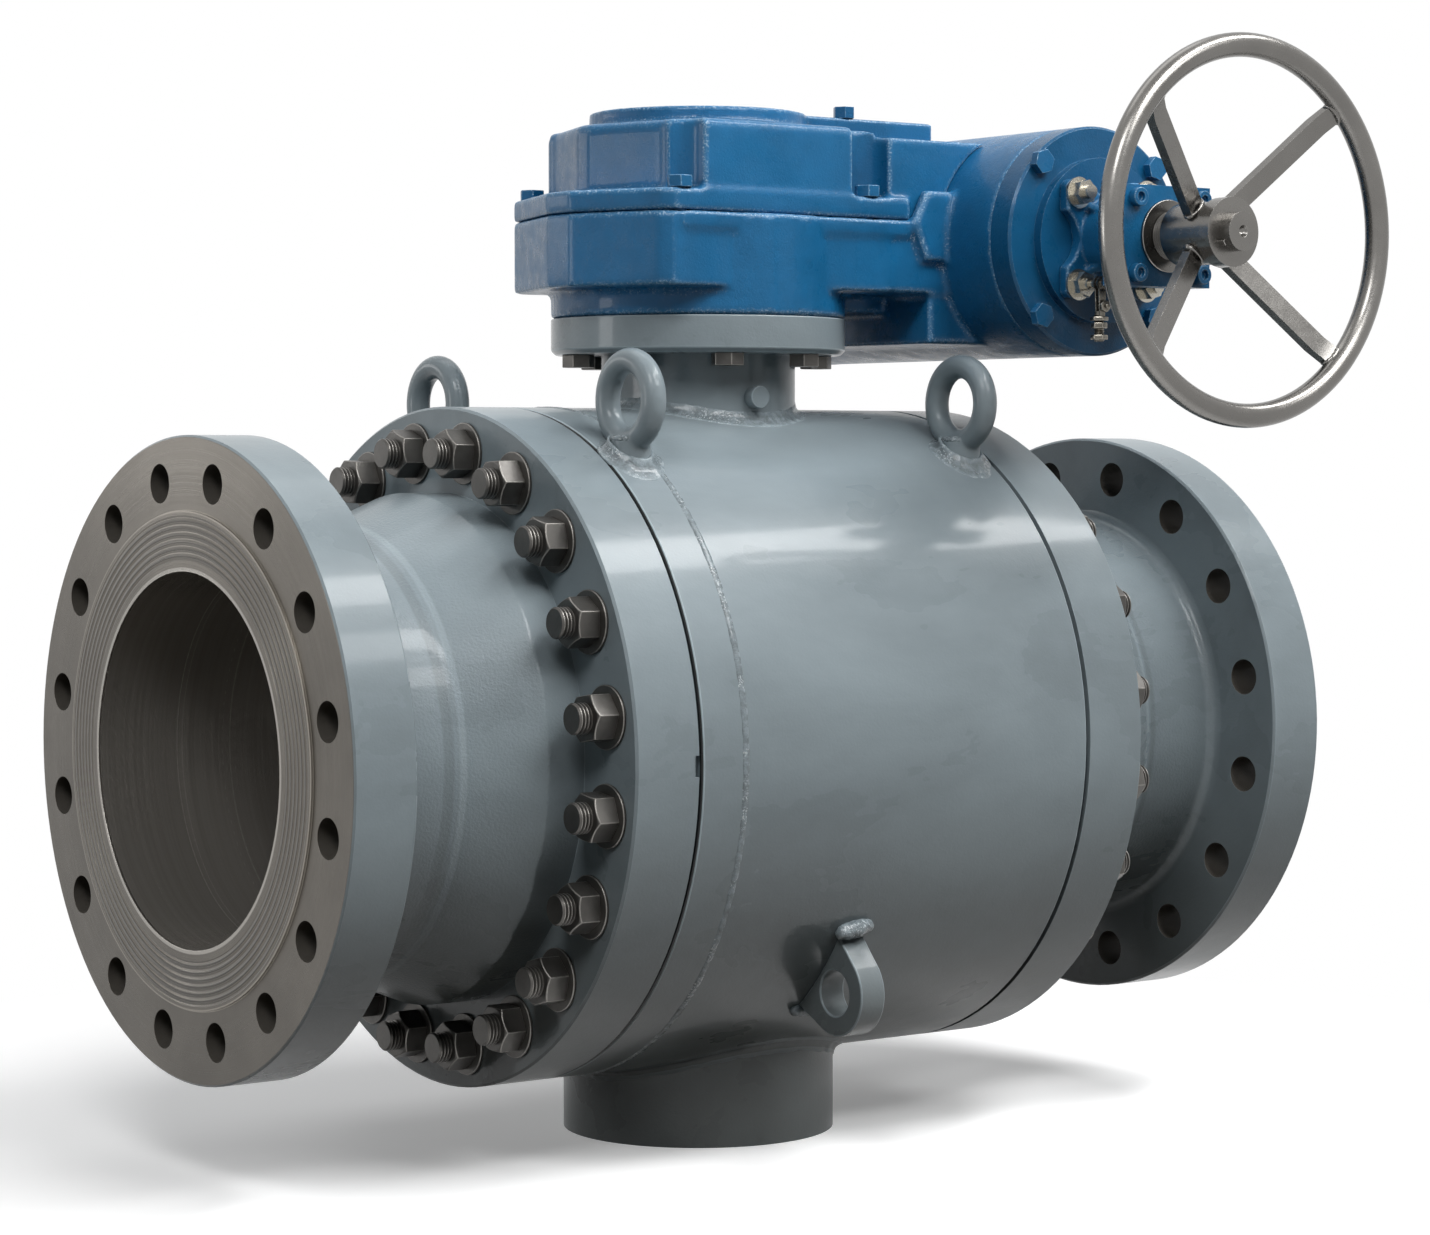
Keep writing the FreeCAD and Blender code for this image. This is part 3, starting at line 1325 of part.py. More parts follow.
def drum_covers():
    """End cover with its boss in front, rear cover behind, and their bolts."""
    face = -(dim.drum_front + dim.end_cover_thickness)
    pocket = -(dim.drum_front + dim.worm_bearing_width)
    front = turned(
        [
            (-dim.drum_front, dim.worm_bearing_radius),
            (-dim.drum_front, dim.drum_radius),
            (face, dim.drum_radius),
            (face, dim.end_boss_radius),
            (face - dim.end_boss_height, dim.end_boss_radius),
            (face - dim.end_boss_height, dim.shaft_hole_radius),
            (pocket, dim.shaft_hole_radius),
            (pocket, dim.worm_bearing_radius),
        ],
        "Y",
        drum_axis,
    )
    ease_rings(front, "Chamfer", dim.edge_break, [(face, dim.drum_radius)])
    front_holes = group(
        spread(solid_of(drum_bolt(dim.end_bolt_radius, face, dim.end_cover_thickness)),
               dim.end_bolt_count, *DRUM_LINE, first=45)
        + spread(solid_of(bracket_stud(dim.bracket_stud_radius)), dim.end_bolt_count, *DRUM_LINE, first=45)
    )
    part("drum_end_cover", cut(front, front_holes))
    back_face = dim.drum_back + dim.rear_cover_thickness
    rear = turned(
        [
            (dim.drum_back - dim.worm_bearing_width, dim.worm_bearing_radius),
            (dim.drum_back - dim.worm_bearing_width, dim.rear_boss_radius),
            (dim.drum_back, dim.rear_boss_radius),
            (dim.drum_back, dim.drum_radius),
            (back_face, dim.drum_radius),
            (back_face, 0),
            (dim.drum_back, 0),
            (dim.drum_back, dim.worm_bearing_radius),
        ],
        "Y",
        drum_axis,
    )
    ease_rings(rear, "Chamfer", dim.edge_break, [(back_face, dim.drum_radius)])
    rear_holes = group(spread(
        solid_of(drum_bolt(dim.end_bolt_radius, dim.drum_back, dim.rear_cover_thickness)),
        dim.rear_bolt_count, *DRUM_LINE))
    part("drum_rear_cover", cut(rear, rear_holes))
    front_bolt = fuse(
        drum_bolt(dim.end_bolt_radius, face, dim.end_cover_thickness + dim.drum_wall),
        drum_bolt_head(face, "-Y"),
    )
    part("end_cover_bolts", group(spread(solid_of(front_bolt), dim.end_bolt_count, *DRUM_LINE, first=45)))
    rear_bolt = fuse(
        drum_bolt(dim.end_bolt_radius, dim.drum_back - dim.drum_wall,
                  dim.rear_cover_thickness + dim.drum_wall),
        drum_bolt_head(back_face, "Y"),
    )
    part("rear_cover_bolts", group(spread(solid_of(rear_bolt), dim.rear_bolt_count, *DRUM_LINE)))


def drum_bolt_head(face, along):
    pitch = (dim.drum_radius * 2 - dim.drum_wall) / 2
    at = (dim.drum_x + pitch, face, rise(dim.drum_rise))
    return hexagon(dim.end_head_half, dim.end_head_height, at, along)


def bracket_stud(radius):
    """A stud of the bearing bracket, from inside the end cover to past its nut."""
    foot_back = bracket_foot_back()
    reach = dim.bracket_foot_thickness + dim.bracket_washer_thickness + dim.bracket_nut_height
    front = foot_back - reach - dim.bracket_stud_end
    return cylinder(radius, foot_back + dim.bracket_stud_depth - front,
                    (dim.drum_x + dim.bracket_nut_pitch, front, rise(dim.drum_rise)), "Y")


def bracket_foot_back():
    return -(dim.drum_front + dim.end_cover_thickness + dim.end_boss_height)


def bearing_bracket():
    """Four-lobed foot, tube and square flange in one casting, closed by a plate with socket screws."""
    back = bracket_foot_back()
    foot_front = back - dim.bracket_foot_thickness
    flange_back = dim.bracket_plate_thickness + dim.bracket_flange_thickness - dim.bracket_plate_front
    flange_front = dim.bracket_plate_thickness - dim.bracket_plate_front
    foot = common(
        drum_bar(dim.bracket_foot_radius, foot_front, back),
        drum_block(dim.bracket_foot_half, dim.bracket_foot_half, foot_front, back),
    )
    waist_place = dim.bracket_foot_half + dim.bracket_waist_radius - dim.bracket_waist_depth
    waist = solid_of(cylinder(dim.bracket_waist_radius, back - foot_front,
                              (dim.drum_x + waist_place, foot_front, rise(dim.drum_rise)), "Y"))
    foot = cut(foot, group(spread(waist, dim.end_bolt_count, *DRUM_LINE)))
    tube = drum_bar(dim.bracket_tube_radius, flange_back, foot_front)
    flange = drum_block(dim.bracket_plate_half_x, dim.bracket_plate_half_z, flange_front, flange_back)
    stud = solid_of(bracket_stud(dim.bracket_stud_radius))
    stud_holes = group(spread(stud, dim.end_bolt_count, *DRUM_LINE, first=45))
    bearing_back = flange_front + dim.worm_bearing_width
    hollow = [
        drum_bar(dim.shaft_hole_radius, flange_front, back),
        drum_bar(dim.bracket_bearing_radius, flange_front, bearing_back),
        stud_holes,
        group(at_plate_screws(flange_front, flange_back, dim.plate_screw_radius)),
    ]
    part("bearing_bracket", cut(fuse(foot, tube, flange, *bracket_webs(foot_front, flange_back)), *hollow))
    plate = drum_block(dim.bracket_plate_half_x, dim.bracket_plate_half_z,
                       -dim.bracket_plate_front, flange_front)
    part("bracket_plate", cut(
        plate,
        drum_bar(dim.shaft_hole_radius, -dim.bracket_plate_front, flange_front),
        group(at_plate_screws(-dim.bracket_plate_front, flange_front, dim.plate_screw_radius)),
    ))
    part("bracket_bearing", drum_ring(dim.worm_shaft_radius + dim.running_gap, dim.bracket_bearing_radius,
                                      flange_front, bearing_back))
    part("worm_bearings", group([
        solid_of(drum_ring(dim.worm_shaft_radius + dim.running_gap, dim.worm_bearing_radius,
                           -(dim.drum_front + dim.worm_bearing_width), -dim.drum_front)),
        solid_of(drum_ring(dim.worm_shaft_radius + dim.running_gap, dim.worm_bearing_radius,
                           dim.drum_back - dim.worm_bearing_width, dim.drum_back)),
    ]))
    part("shaft_seal_ring", drum_ring(dim.worm_shaft_radius + dim.running_gap, dim.seal_ring_radius,
                                      -(dim.bracket_plate_front + dim.seal_ring_thickness),
                                      -dim.bracket_plate_front))


def bracket_webs(foot_front, flange_back):
    """Four webs from the tube out to the corners of the foot."""
    thickness = dim.bracket_flange_thickness
    web = padded(
        [
            (dim.worm_shaft_radius + thickness, 0),
            (dim.bracket_nut_pitch - thickness, 0),
            (dim.worm_shaft_radius + thickness, (flange_back - foot_front) / 2),
        ],
        "XY_Plane",
        -thickness / 4,
        thickness / 2,
        (dim.drum_x, foot_front, rise(dim.drum_rise)),
    )
    return [group([shape]) for shape in spread(solid_of(web), dim.end_bolt_count, *DRUM_LINE, first=45)]


def drum_block(half_x, half_z, front, back):
    """A block centred on the drum's axis."""
    return box(half_x * 2, back - front, half_z * 2,
               (dim.drum_x - half_x, front, rise(dim.drum_rise) - half_z))


def drum_ring(inner, outer, front, back):
    return turned([(front, inner), (front, outer), (back, outer), (back, inner)], "Y", drum_axis)


def at_plate_screws(front, back, radius):
    bars = []
    for x in (-dim.plate_screw_x, dim.plate_screw_x):
        for z in (-dim.plate_screw_z, dim.plate_screw_z):
            at = (dim.drum_x + x, front, rise(dim.drum_rise) + z)
            bars.append(solid_of(cylinder(radius, back - front, at, "Y")))
    return bars


def bracket_fasteners():
    """Studs with bright washers and nuts on the foot, socket screws in the plate."""
    stud = solid_of(bracket_stud(dim.bracket_stud_radius))
    studs = spread(stud, dim.end_bolt_count, *DRUM_LINE, first=45)
    seat = bracket_foot_back() - dim.bracket_foot_thickness
    pitch_x = dim.drum_x + dim.bracket_nut_pitch
    washer_at = (pitch_x, seat, rise(dim.drum_rise))
    nut_at = (pitch_x, seat - dim.bracket_washer_thickness, rise(dim.drum_rise))
    nut = cut(
        fuse(cylinder(dim.bracket_washer_radius, dim.bracket_washer_thickness, washer_at, "-Y"),
             hexagon(dim.bracket_nut_half, dim.bracket_nut_height, nut_at, "-Y")),
        bracket_stud(dim.bracket_stud_radius),
    )
    part("bracket_nuts", group(spread(solid_of(nut), dim.end_bolt_count, *DRUM_LINE, first=45)))
    rod_at = (lever_x(), -(dim.lever_plane + dim.lever_thickness * 2), lever_z())
    stud_front = -(bracket_stud_front_reach())
    rod = solid_of(cylinder(dim.lever_rod_radius, stud_front + dim.lever_plane + dim.lever_thickness * 2,
                            rod_at, "Y"))
    longest = [s for s in studs if s.CenterOfMass.x < dim.drum_x.value
               and s.CenterOfMass.z < rise(dim.drum_rise).value][0]
    others = [s for s in studs if s is not longest]
    part("bracket_studs", group(others + [longest.fuse(rod)]))
    flange_back = dim.bracket_plate_thickness + dim.bracket_flange_thickness - dim.bracket_plate_front
    shanks = at_plate_screws(-dim.bracket_plate_front, flange_back, dim.plate_screw_radius)
    head_front = -(dim.bracket_plate_front + dim.plate_screw_head)
    heads = at_plate_screws(head_front, -dim.bracket_plate_front, dim.plate_screw_head)
    sockets = at_plate_screws(head_front, head_front + dim.plate_screw_socket, dim.plate_screw_socket)
    screws = [shank.fuse(head.cut(socket)) for shank, head, socket in zip(shanks, heads, sockets)]
    part("plate_screws", group(screws))


def bracket_stud_front_reach():
    """How far in front of the stem axis a bracket stud ends."""
    reach = dim.bracket_foot_thickness + dim.bracket_washer_thickness + dim.bracket_nut_height
    return -(bracket_foot_back() - reach - dim.bracket_stud_end)


def lever_x():
    return dim.drum_x - dim.bracket_nut_pitch * cosine(45)


def lever_z():
    return rise(dim.drum_rise) - dim.bracket_nut_pitch * sine(45)


def lock_lever():
    """Small lever that hangs on the rod of the lower left stud."""
    x, z = lever_x(), lever_z()
    front = -(dim.lever_plane + dim.lever_thickness)
    eye = cylinder(dim.lever_width / 2, dim.lever_thickness, (x, front, z), "Y")
    blade = box(dim.lever_width, dim.lever_thickness, dim.lever_drop,
                (x - dim.lever_width / 2, front, z - dim.lever_drop))
    middle = front + dim.lever_thickness / 2
    end_top = z - dim.lever_drop
    end = cylinder(dim.lever_end_radius, dim.lever_end_length, (x, middle, end_top), "-Z")
    collar = hexagon(dim.lever_nut_half, dim.lever_nut_height, (x, middle, end_top), "-Z")
    lower = hexagon(dim.lever_nut_half, dim.lever_nut_height,
                    (x, middle, end_top - dim.lever_nut_height * 2), "-Z")
    hole = cylinder(dim.lever_rod_radius + dim.running_gap, dim.lever_thickness, (x, front, z), "Y")
    return part("lock_lever", cut(fuse(eye, blade, end, collar, lower), hole))


def tooth_half_angle(teeth, radius, thinning):
    """Half the angle that an involute tooth covers at a radius, in radians."""
    pitch = dim.gear_module.value * teeth / 2
    base = pitch * math.cos(math.radians(20))
    pressure = math.acos(min(base / radius, 1.0))
    at_pitch = math.tan(math.radians(20)) - math.radians(20)
    half_thickness = (math.pi * dim.gear_module.value / 2 - thinning) / (2 * pitch)
    return half_thickness + at_pitch - (math.tan(pressure) - pressure)


def tooth_radii(teeth):
    """Radii from the root to the tip where a flank has a corner."""
    module = dim.gear_module.value
    pitch = module * teeth / 2
    root_radius = pitch - 1.25 * module
    base = pitch * math.cos(math.radians(20))
    radii = [root_radius, pitch, pitch + module]
    return sorted(radii + [base]) if base > root_radius else radii


def tooth_points(teeth, thinning, middle):
    """One tooth's outline about its middle angle, from root to root."""
    flank = [(r, tooth_half_angle(teeth, r, thinning)) for r in tooth_radii(teeth)]
    left = [(r, middle - half) for r, half in flank]
    right = [(r, middle + half) for r, half in reversed(flank)]
    return [FreeCAD.Vector(r * math.cos(a), r * math.sin(a), 0) for r, a in left + right]


def toothed_disc(teeth, width, thinning, first):
    """A spur gear without its bore, standing on its own origin."""
    points = []
    for k in range(teeth):
        points += tooth_points(teeth, thinning, math.radians(first + 360.0 * k / teeth))
    outline = Part.makePolygon(points + [points[0]])
    return Part.Face(outline).extrude(FreeCAD.Vector(0, 0, width))


def stem_gear():
    """Output gear with a long hub that is keyed to the stem."""
    teeth = round(dim.stem_gear_teeth.value)
    blank = doc.addObject("Part::Feature", "Teeth")
    blank.Shape = toothed_disc(teeth, dim.gear_width.value, dim.gear_backlash.value, 0)
    place(blank, (0, 0, rise(dim.gear_bottom_rise)))
    hub_top = dim.ceiling_rise + dim.output_bearing_height - dim.loose_gap
    hub = on_stem(dim.gear_hub_radius, dim.gear_hub_bottom_rise, hub_top)
    gear_top = dim.gear_bottom_rise + dim.gear_width
    recesses = [
        turned_ring(dim.gear_web_inner, dim.gear_web_outer, dim.gear_bottom_rise,
                    dim.gear_bottom_rise + dim.gear_web_recess),
        turned_ring(dim.gear_web_inner, dim.gear_web_outer, gear_top - dim.gear_web_recess, gear_top),
    ]
    bore = on_stem(dim.stem_radius, dim.gear_hub_bottom_rise, hub_top)
    part("stem_gear", cut(fuse(blank, hub), bore, stem_key_block(), *recesses))
    bearing_inner = dim.gear_hub_radius + dim.running_gap
    lower = turned_ring(bearing_inner, dim.output_bearing_radius, dim.disc_top_rise,
                        dim.disc_top_rise + dim.output_bearing_height)
    upper = turned_ring(bearing_inner, dim.output_bearing_radius, dim.ceiling_rise,
                        dim.ceiling_rise + dim.output_bearing_height)
    part("output_bearings", group([solid_of(lower), solid_of(upper)]))


def layshaft():
    """Upright shaft with the pinion cut on it, its worm wheel, key and bearings."""
    teeth = round(dim.pinion_teeth.value)
    pinion = doc.addObject("Part::Feature", "Teeth")
    pinion.Shape = toothed_disc(teeth, dim.pinion_width.value, dim.gear_backlash.value, 180 + 180.0 / teeth)
    pinion_bottom = dim.gear_bottom_rise - (dim.pinion_width - dim.gear_width) / 2
    place(pinion, (dim.layshaft_x, 0, rise(pinion_bottom)))
    shaft = on_layshaft(dim.layshaft_radius, dim.layshaft_bottom_rise + dim.loose_gap,
                        dim.layshaft_top_rise)
    part("pinion_shaft", cut(fuse(shaft, pinion), wheel_key_block()))
    part("wheel_key", wheel_key_block())
    middle = dim.wheel_bottom_rise + dim.wheel_width / 2
    hub = cut(
        fuse(on_layshaft(dim.wheel_rim_inner, dim.wheel_bottom_rise,
                         dim.wheel_bottom_rise + dim.wheel_width),
             on_layshaft(dim.layshaft_radius * 2, middle - dim.wheel_hub_width / 2,
                         middle + dim.wheel_width / 2)),
        on_layshaft(dim.layshaft_radius, dim.layshaft_bottom_rise, dim.layshaft_top_rise),
        wheel_key_block(),
    )
    part("wheel_hub", hub)
    bearing = solid_of(cut(
        on_layshaft(dim.layshaft_bearing_radius, dim.layshaft_bottom_rise,
                    dim.layshaft_bottom_rise + dim.layshaft_bearing_height),
        on_layshaft(dim.layshaft_radius + dim.running_gap, dim.layshaft_bottom_rise,
                    dim.layshaft_bottom_rise + dim.layshaft_bearing_height),
    ))
    upper_bottom = dim.layshaft_top_rise - dim.layshaft_bearing_height
    part("layshaft_bearings", group([bearing, moved(bearing, z=upper_bottom - dim.layshaft_bottom_rise)]))


def wheel_key_block():
    middle = dim.wheel_bottom_rise + dim.wheel_width / 2
    return box(dim.wheel_key_width, dim.wheel_key_width, dim.wheel_width,
               (dim.layshaft_x + dim.layshaft_radius - dim.wheel_key_width / 2, -dim.wheel_key_width / 2,
                rise(middle - dim.wheel_width / 2)))


def worm_wheel():
    """Bronze rim whose teeth lean at the worm's lead angle."""
    teeth = round(dim.wheel_teeth.value)
    module, width = dim.gear_module.value, dim.wheel_width.value
    lean = module / (2 * dim.worm_radius.value)
    outline = tooth_points(teeth, dim.worm_backlash.value, 0.0)
    foot = module * teeth / 2 - 1.5 * module
    inner = [FreeCAD.Vector(foot, outline[-1].y, 0), FreeCAD.Vector(foot, outline[0].y, 0)]
    corners = outline + inner
    leaning = FreeCAD.Vector(0, -lean * width, width)
    tooth = Part.Face(Part.makePolygon(corners + [corners[0]])).extrude(leaning)
    tooth.translate(FreeCAD.Vector(0, lean * width / 2, 0))
    rim = Part.makeCylinder(module * teeth / 2 - 1.25 * module, width)
    toothed = rim.multiFuse(spread(tooth, teeth, *STEM_AXIS)).removeSplitter()
    made = doc.addObject("Part::Feature", "Rim")
    made.Shape = toothed.cut(Part.makeCylinder(dim.wheel_rim_inner.value, width))
    place(made, (dim.layshaft_x, 0, rise(dim.wheel_bottom_rise)))
    return part("worm_wheel", made)


def worm_thread():
    """Left-hand trapezoid thread along Z, whose crest passes the -X side half a pitch off the middle."""
    module = dim.gear_module.value
    pitch = math.pi * module
    turns = round(dim.worm_turns.value)
    root_radius = dim.worm_radius.value - 1.25 * module
    tip_radius = dim.worm_radius.value + module
    slope = math.tan(math.radians(20))
    half = (pitch / 2 - dim.worm_backlash.value) / 2
    root_half = half + 1.25 * module * slope
    tip_half = half - module * slope
    start = -pitch * turns / 2
    sunk = 1.0
    corners = [
        FreeCAD.Vector(root_radius - sunk, 0, start - root_half),
        FreeCAD.Vector(root_radius, 0, start - root_half),
        FreeCAD.Vector(tip_radius, 0, start - tip_half),
        FreeCAD.Vector(tip_radius, 0, start + tip_half),
        FreeCAD.Vector(root_radius, 0, start + root_half),
        FreeCAD.Vector(root_radius - sunk, 0, start + root_half),
    ]
    helix = Part.makeHelix(pitch, pitch * turns, dim.worm_radius.value, 0, True)
    helix.translate(FreeCAD.Vector(0, 0, start))
    profile = Part.makePolygon(corners + [corners[0]])
    return Part.Wire(helix.Edges).makePipeShell([profile], True, True)


def worm_shaft():
    """Handwheel shaft with the worm on it."""
    thread = worm_thread()
    half = math.pi * dim.gear_module * dim.worm_turns / 2 + dim.gear_module
    core_radius = dim.worm_radius - 1.25 * dim.gear_module
    nose_end = -(dim.hub_front + dim.nose_end)
    core = turned(
        [
            (dim.drum_back - dim.loose_gap, 0),
            (dim.drum_back - dim.loose_gap, dim.worm_shaft_radius),
            (half, dim.worm_shaft_radius),
            (half, core_radius),
            (-half, core_radius),
            (-half, dim.worm_shaft_radius),
            (-dim.hub_back, dim.worm_shaft_radius),
            (-dim.hub_back, dim.nose_radius),
            (nose_end, dim.nose_radius),
            (nose_end, dim.nose_centre_radius),
            (nose_end + dim.nose_centre_depth, 0),
        ],
        "Y",
        drum_axis,
    )
    made = doc.addObject("Part::Feature", "Thread")
    made.Shape = thread
    place(made, drum_axis, "Y")
    part("worm_shaft", cut(fuse(core, made), hub_key_bar()))
    part("hub_key", hub_key_bar())


def hub_key_bar():
    """Square key between shaft and hub, let into both, its end standing just out of the hub."""
    length = dim.hub_front - dim.hub_back + dim.nose_end / 2
    size = dim.hub_key_size
    key = solid_of(box(size, length, size, (dim.drum_x + dim.nose_radius - size / 2,
                                            -(dim.hub_front + dim.nose_end / 2),
                                            rise(dim.drum_rise) - size / 2)))
    key.rotate(*DRUM_LINE, -dim.hub_key_angle.value)
    made = doc.addObject("Part::Feature", "Key")
    made.Shape = key
    return made


def handwheel():
    """Rim, four bent spokes and the turned hub, welded into one."""
    hub_step = dim.hub_front - dim.hub_front_length
    hub = turned(
        [
            (-dim.hub_back, dim.nose_radius),
            (-dim.hub_back, dim.hub_back_radius),
            (-hub_step, dim.hub_back_radius),
            (-hub_step, dim.hub_front_radius),
            (-dim.hub_front, dim.hub_front_radius),
            (-dim.hub_front, dim.nose_radius),
        ],
        "Y",
        drum_axis,
    )
    rim = torus(dim.rim_radius, dim.rim_bar_radius, (dim.drum_x, -dim.rim_plane, rise(dim.drum_rise)), "Y")
    half = dim.spoke_depth / 2
    root_radius = (dim.nose_radius + dim.hub_back_radius) / 2
    spoke = padded(
        [
            (root_radius, -(dim.spoke_root_plane - half)),
            (dim.spoke_kink_radius, -(dim.spoke_kink_plane - half)),
            (dim.rim_radius, -(dim.rim_plane - half)),
            (dim.rim_radius, -(dim.rim_plane + half)),
            (dim.spoke_kink_radius, -(dim.spoke_kink_plane + half)),
            (root_radius, -(dim.spoke_root_plane + half)),
        ],
        "XY_Plane",
        -dim.spoke_width / 2,
        dim.spoke_width,
        drum_axis,
    )
    spokes = [group([s]) for s in spread(solid_of(spoke), dim.spoke_count, *DRUM_LINE, first=45)]
    return part("handwheel", cut(fuse(hub, rim, *spokes), hub_key_bar()))


def write_parts():
    """Every piece is tested before any is written."""
    doc.recompute()
    for thing in doc.Objects:
        bad = [state for state in ("Invalid", "Error") if state in thing.State]
        if bad:
            raise RuntimeError(f"{thing.Name} ({thing.Label}) is {bad}")
    for thing in PARTS:
        if thing.Shape.isNull() or not thing.Shape.isValid() or not thing.Shape.Solids:
            raise RuntimeError(f"{thing.Label} has no sound shape")
    os.makedirs("parts", exist_ok=True)
    for thing in PARTS:
        thing.Shape.exportStep(f"parts/{thing.Label}.step")


body_shell()
closure("left_closure", -1)
closure("right_closure", 1)
seats()
closure_fasteners()
ball()
stem()
neck()
mounting_disc()
lower_trunnion()
pedestal()
lifting_eyes()
side_lugs()
gear_case()
gear_cover()
cover_fittings()
drum_covers()
bearing_bracket()
bracket_fasteners()
lock_lever()
stem_gear()
layshaft()
worm_wheel()
worm_shaft()
handwheel()
write_parts()
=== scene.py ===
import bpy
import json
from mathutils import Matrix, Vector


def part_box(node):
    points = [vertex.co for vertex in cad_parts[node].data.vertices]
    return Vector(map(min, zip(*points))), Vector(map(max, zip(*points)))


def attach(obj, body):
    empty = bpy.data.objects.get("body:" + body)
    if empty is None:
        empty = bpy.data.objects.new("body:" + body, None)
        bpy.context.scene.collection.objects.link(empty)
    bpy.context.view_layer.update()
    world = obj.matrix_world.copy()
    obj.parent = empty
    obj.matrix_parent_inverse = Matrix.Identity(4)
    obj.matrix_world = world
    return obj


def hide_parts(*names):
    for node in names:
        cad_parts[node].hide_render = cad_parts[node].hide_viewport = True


bl_info = {
    "name": "Geared trunnion ball valve",
    "version": (1, 0, 0),
    "blender": (4, 5, 0),
    "location": "View3D > Sidebar > Valve",
    "description": "Dresses the solids of a geared trunnion ball valve and lights them",
    "category": "Object",
}

import json
import math

import bmesh
import bpy
from bpy.props import FloatProperty, FloatVectorProperty, IntProperty, PointerProperty
from mathutils import Matrix, Vector, noise

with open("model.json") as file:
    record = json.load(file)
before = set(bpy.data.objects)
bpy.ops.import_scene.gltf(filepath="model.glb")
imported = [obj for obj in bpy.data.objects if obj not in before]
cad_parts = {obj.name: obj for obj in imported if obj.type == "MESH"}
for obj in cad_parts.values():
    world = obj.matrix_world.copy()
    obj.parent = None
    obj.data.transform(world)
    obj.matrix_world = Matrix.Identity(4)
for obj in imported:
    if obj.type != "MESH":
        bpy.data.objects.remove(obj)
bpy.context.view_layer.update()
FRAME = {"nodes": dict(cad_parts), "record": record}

AXIS = Vector((0.0, 0.0, 0.346))
DRUM = Vector((0.2775, 0.0, 0.777))
BODY_RADIUS = 0.2847
BODY_HALF_LENGTH = 0.203
NECK_RADIUS = 0.085
PEDESTAL_RADIUS = 0.119
EYE_X, EYE_Y = 0.176, 0.148
STUD_CIRCLE = 0.2484
STUD_COUNT = 20
FIRST_STUD = 9.0
STUD_STEP = 360.0 / STUD_COUNT


def srgb(r, g, b):
    """A screen colour, 0 to 255, as Blender's linear one."""
    return tuple(((c / 255 + 0.055) / 1.055) ** 2.4 if c > 10 else c / 3294.6 for c in (r, g, b))


class PaintColours(bpy.types.PropertyGroup):
    """Colours of the finishes."""

    valve: FloatVectorProperty(
        name="Valve paint", description="Satin paint of the valve", subtype="COLOR", size=3,
        default=srgb(126, 137, 142),
    )
    operator: FloatVectorProperty(
        name="Operator paint", description="Gloss paint of the gear operator", subtype="COLOR", size=3,
        default=srgb(24, 94, 138),
    )
    bare_steel: FloatVectorProperty(
        name="Bare steel", description="Machined faces of the end flanges", subtype="COLOR", size=3,
        default=srgb(98, 94, 88),
    )
    bore: FloatVectorProperty(
        name="Bore", description="Bored steel inside the pipe way", subtype="COLOR", size=3,
        default=srgb(156, 152, 146),
    )
    fasteners: FloatVectorProperty(
        name="Fasteners", description="Oiled steel of studs and nuts", subtype="COLOR", size=3,
        default=srgb(84, 82, 79),
    )
    zinc: FloatVectorProperty(
        name="Zinc", description="Bright plated fittings of the bearing bracket", subtype="COLOR", size=3,
        default=srgb(182, 178, 168),
    )
    wheel: FloatVectorProperty(
        name="Handwheel", description="Brushed steel of handwheel and shaft", subtype="COLOR", size=3,
        default=srgb(120, 118, 115),
    )


class EdgeSizes(bpy.types.PropertyGroup):
    """How far edges are eased, and how large the weld beads are."""

    machined: FloatProperty(
        name="Machined edges", description="Width of the break on turned edges", default=0.0014, unit="LENGTH"
    )
    fastener: FloatProperty(
        name="Fastener edges", description="Width of the break on nuts and bolt heads", default=0.0008,
        unit="LENGTH",
    )
    cast: FloatProperty(
        name="Cast grid", description="Grid of the rounded castings", default=0.0026, unit="LENGTH"
    )
    cast_rounds: IntProperty(
        name="Cast rounds", description="Smoothing passes on the castings", default=5, min=0
    )
    bead: FloatProperty(
        name="Weld bead", description="Width of the weld round the body", default=0.009, unit="LENGTH"
    )
    fillet: FloatProperty(
        name="Fillet weld", description="Leg of the welds at neck, pedestal and eyes", default=0.011,
        unit="LENGTH",
    )


class HardwareSizes(bpy.types.PropertyGroup):
    """Studs, nuts and washers of the closures."""

    stud: FloatProperty(
        name="Stud", description="Radius of a stud's thread", default=0.0127, unit="LENGTH"
    )
    stud_end: FloatProperty(
        name="Stud end", description="Where a stud ends along the pipe", default=0.3005, unit="LENGTH"
    )
    nut: FloatProperty(
        name="Nut", description="Half of a nut's width across flats", default=0.0207, unit="LENGTH"
    )
    nut_face: FloatProperty(
        name="Nut face", description="Where a nut ends along the pipe", default=0.289, unit="LENGTH"
    )
    washer: FloatProperty(name="Washer", description="Radius of a washer", default=0.0258, unit="LENGTH")
    washer_face: FloatProperty(
        name="Washer face", description="Where a washer ends along the pipe", default=0.269, unit="LENGTH"
    )


class CameraSizes(bpy.types.PropertyGroup):
    """Where the photograph was taken from."""

    place: FloatVectorProperty(
        name="Place", description="Camera position", subtype="TRANSLATION", size=3,
        default=(-1.898, -2.607, 0.589),
    )
    yaw: FloatProperty(
        name="Yaw", description="Turn about the vertical", subtype="ANGLE", default=math.radians(-36.32)
    )
    pitch: FloatProperty(
        name="Pitch", description="Downward tilt", subtype="ANGLE", default=math.radians(2.51)
    )
    lens: FloatProperty(name="Lens", description="Focal length on a 36 mm sensor, in mm", default=92.4)


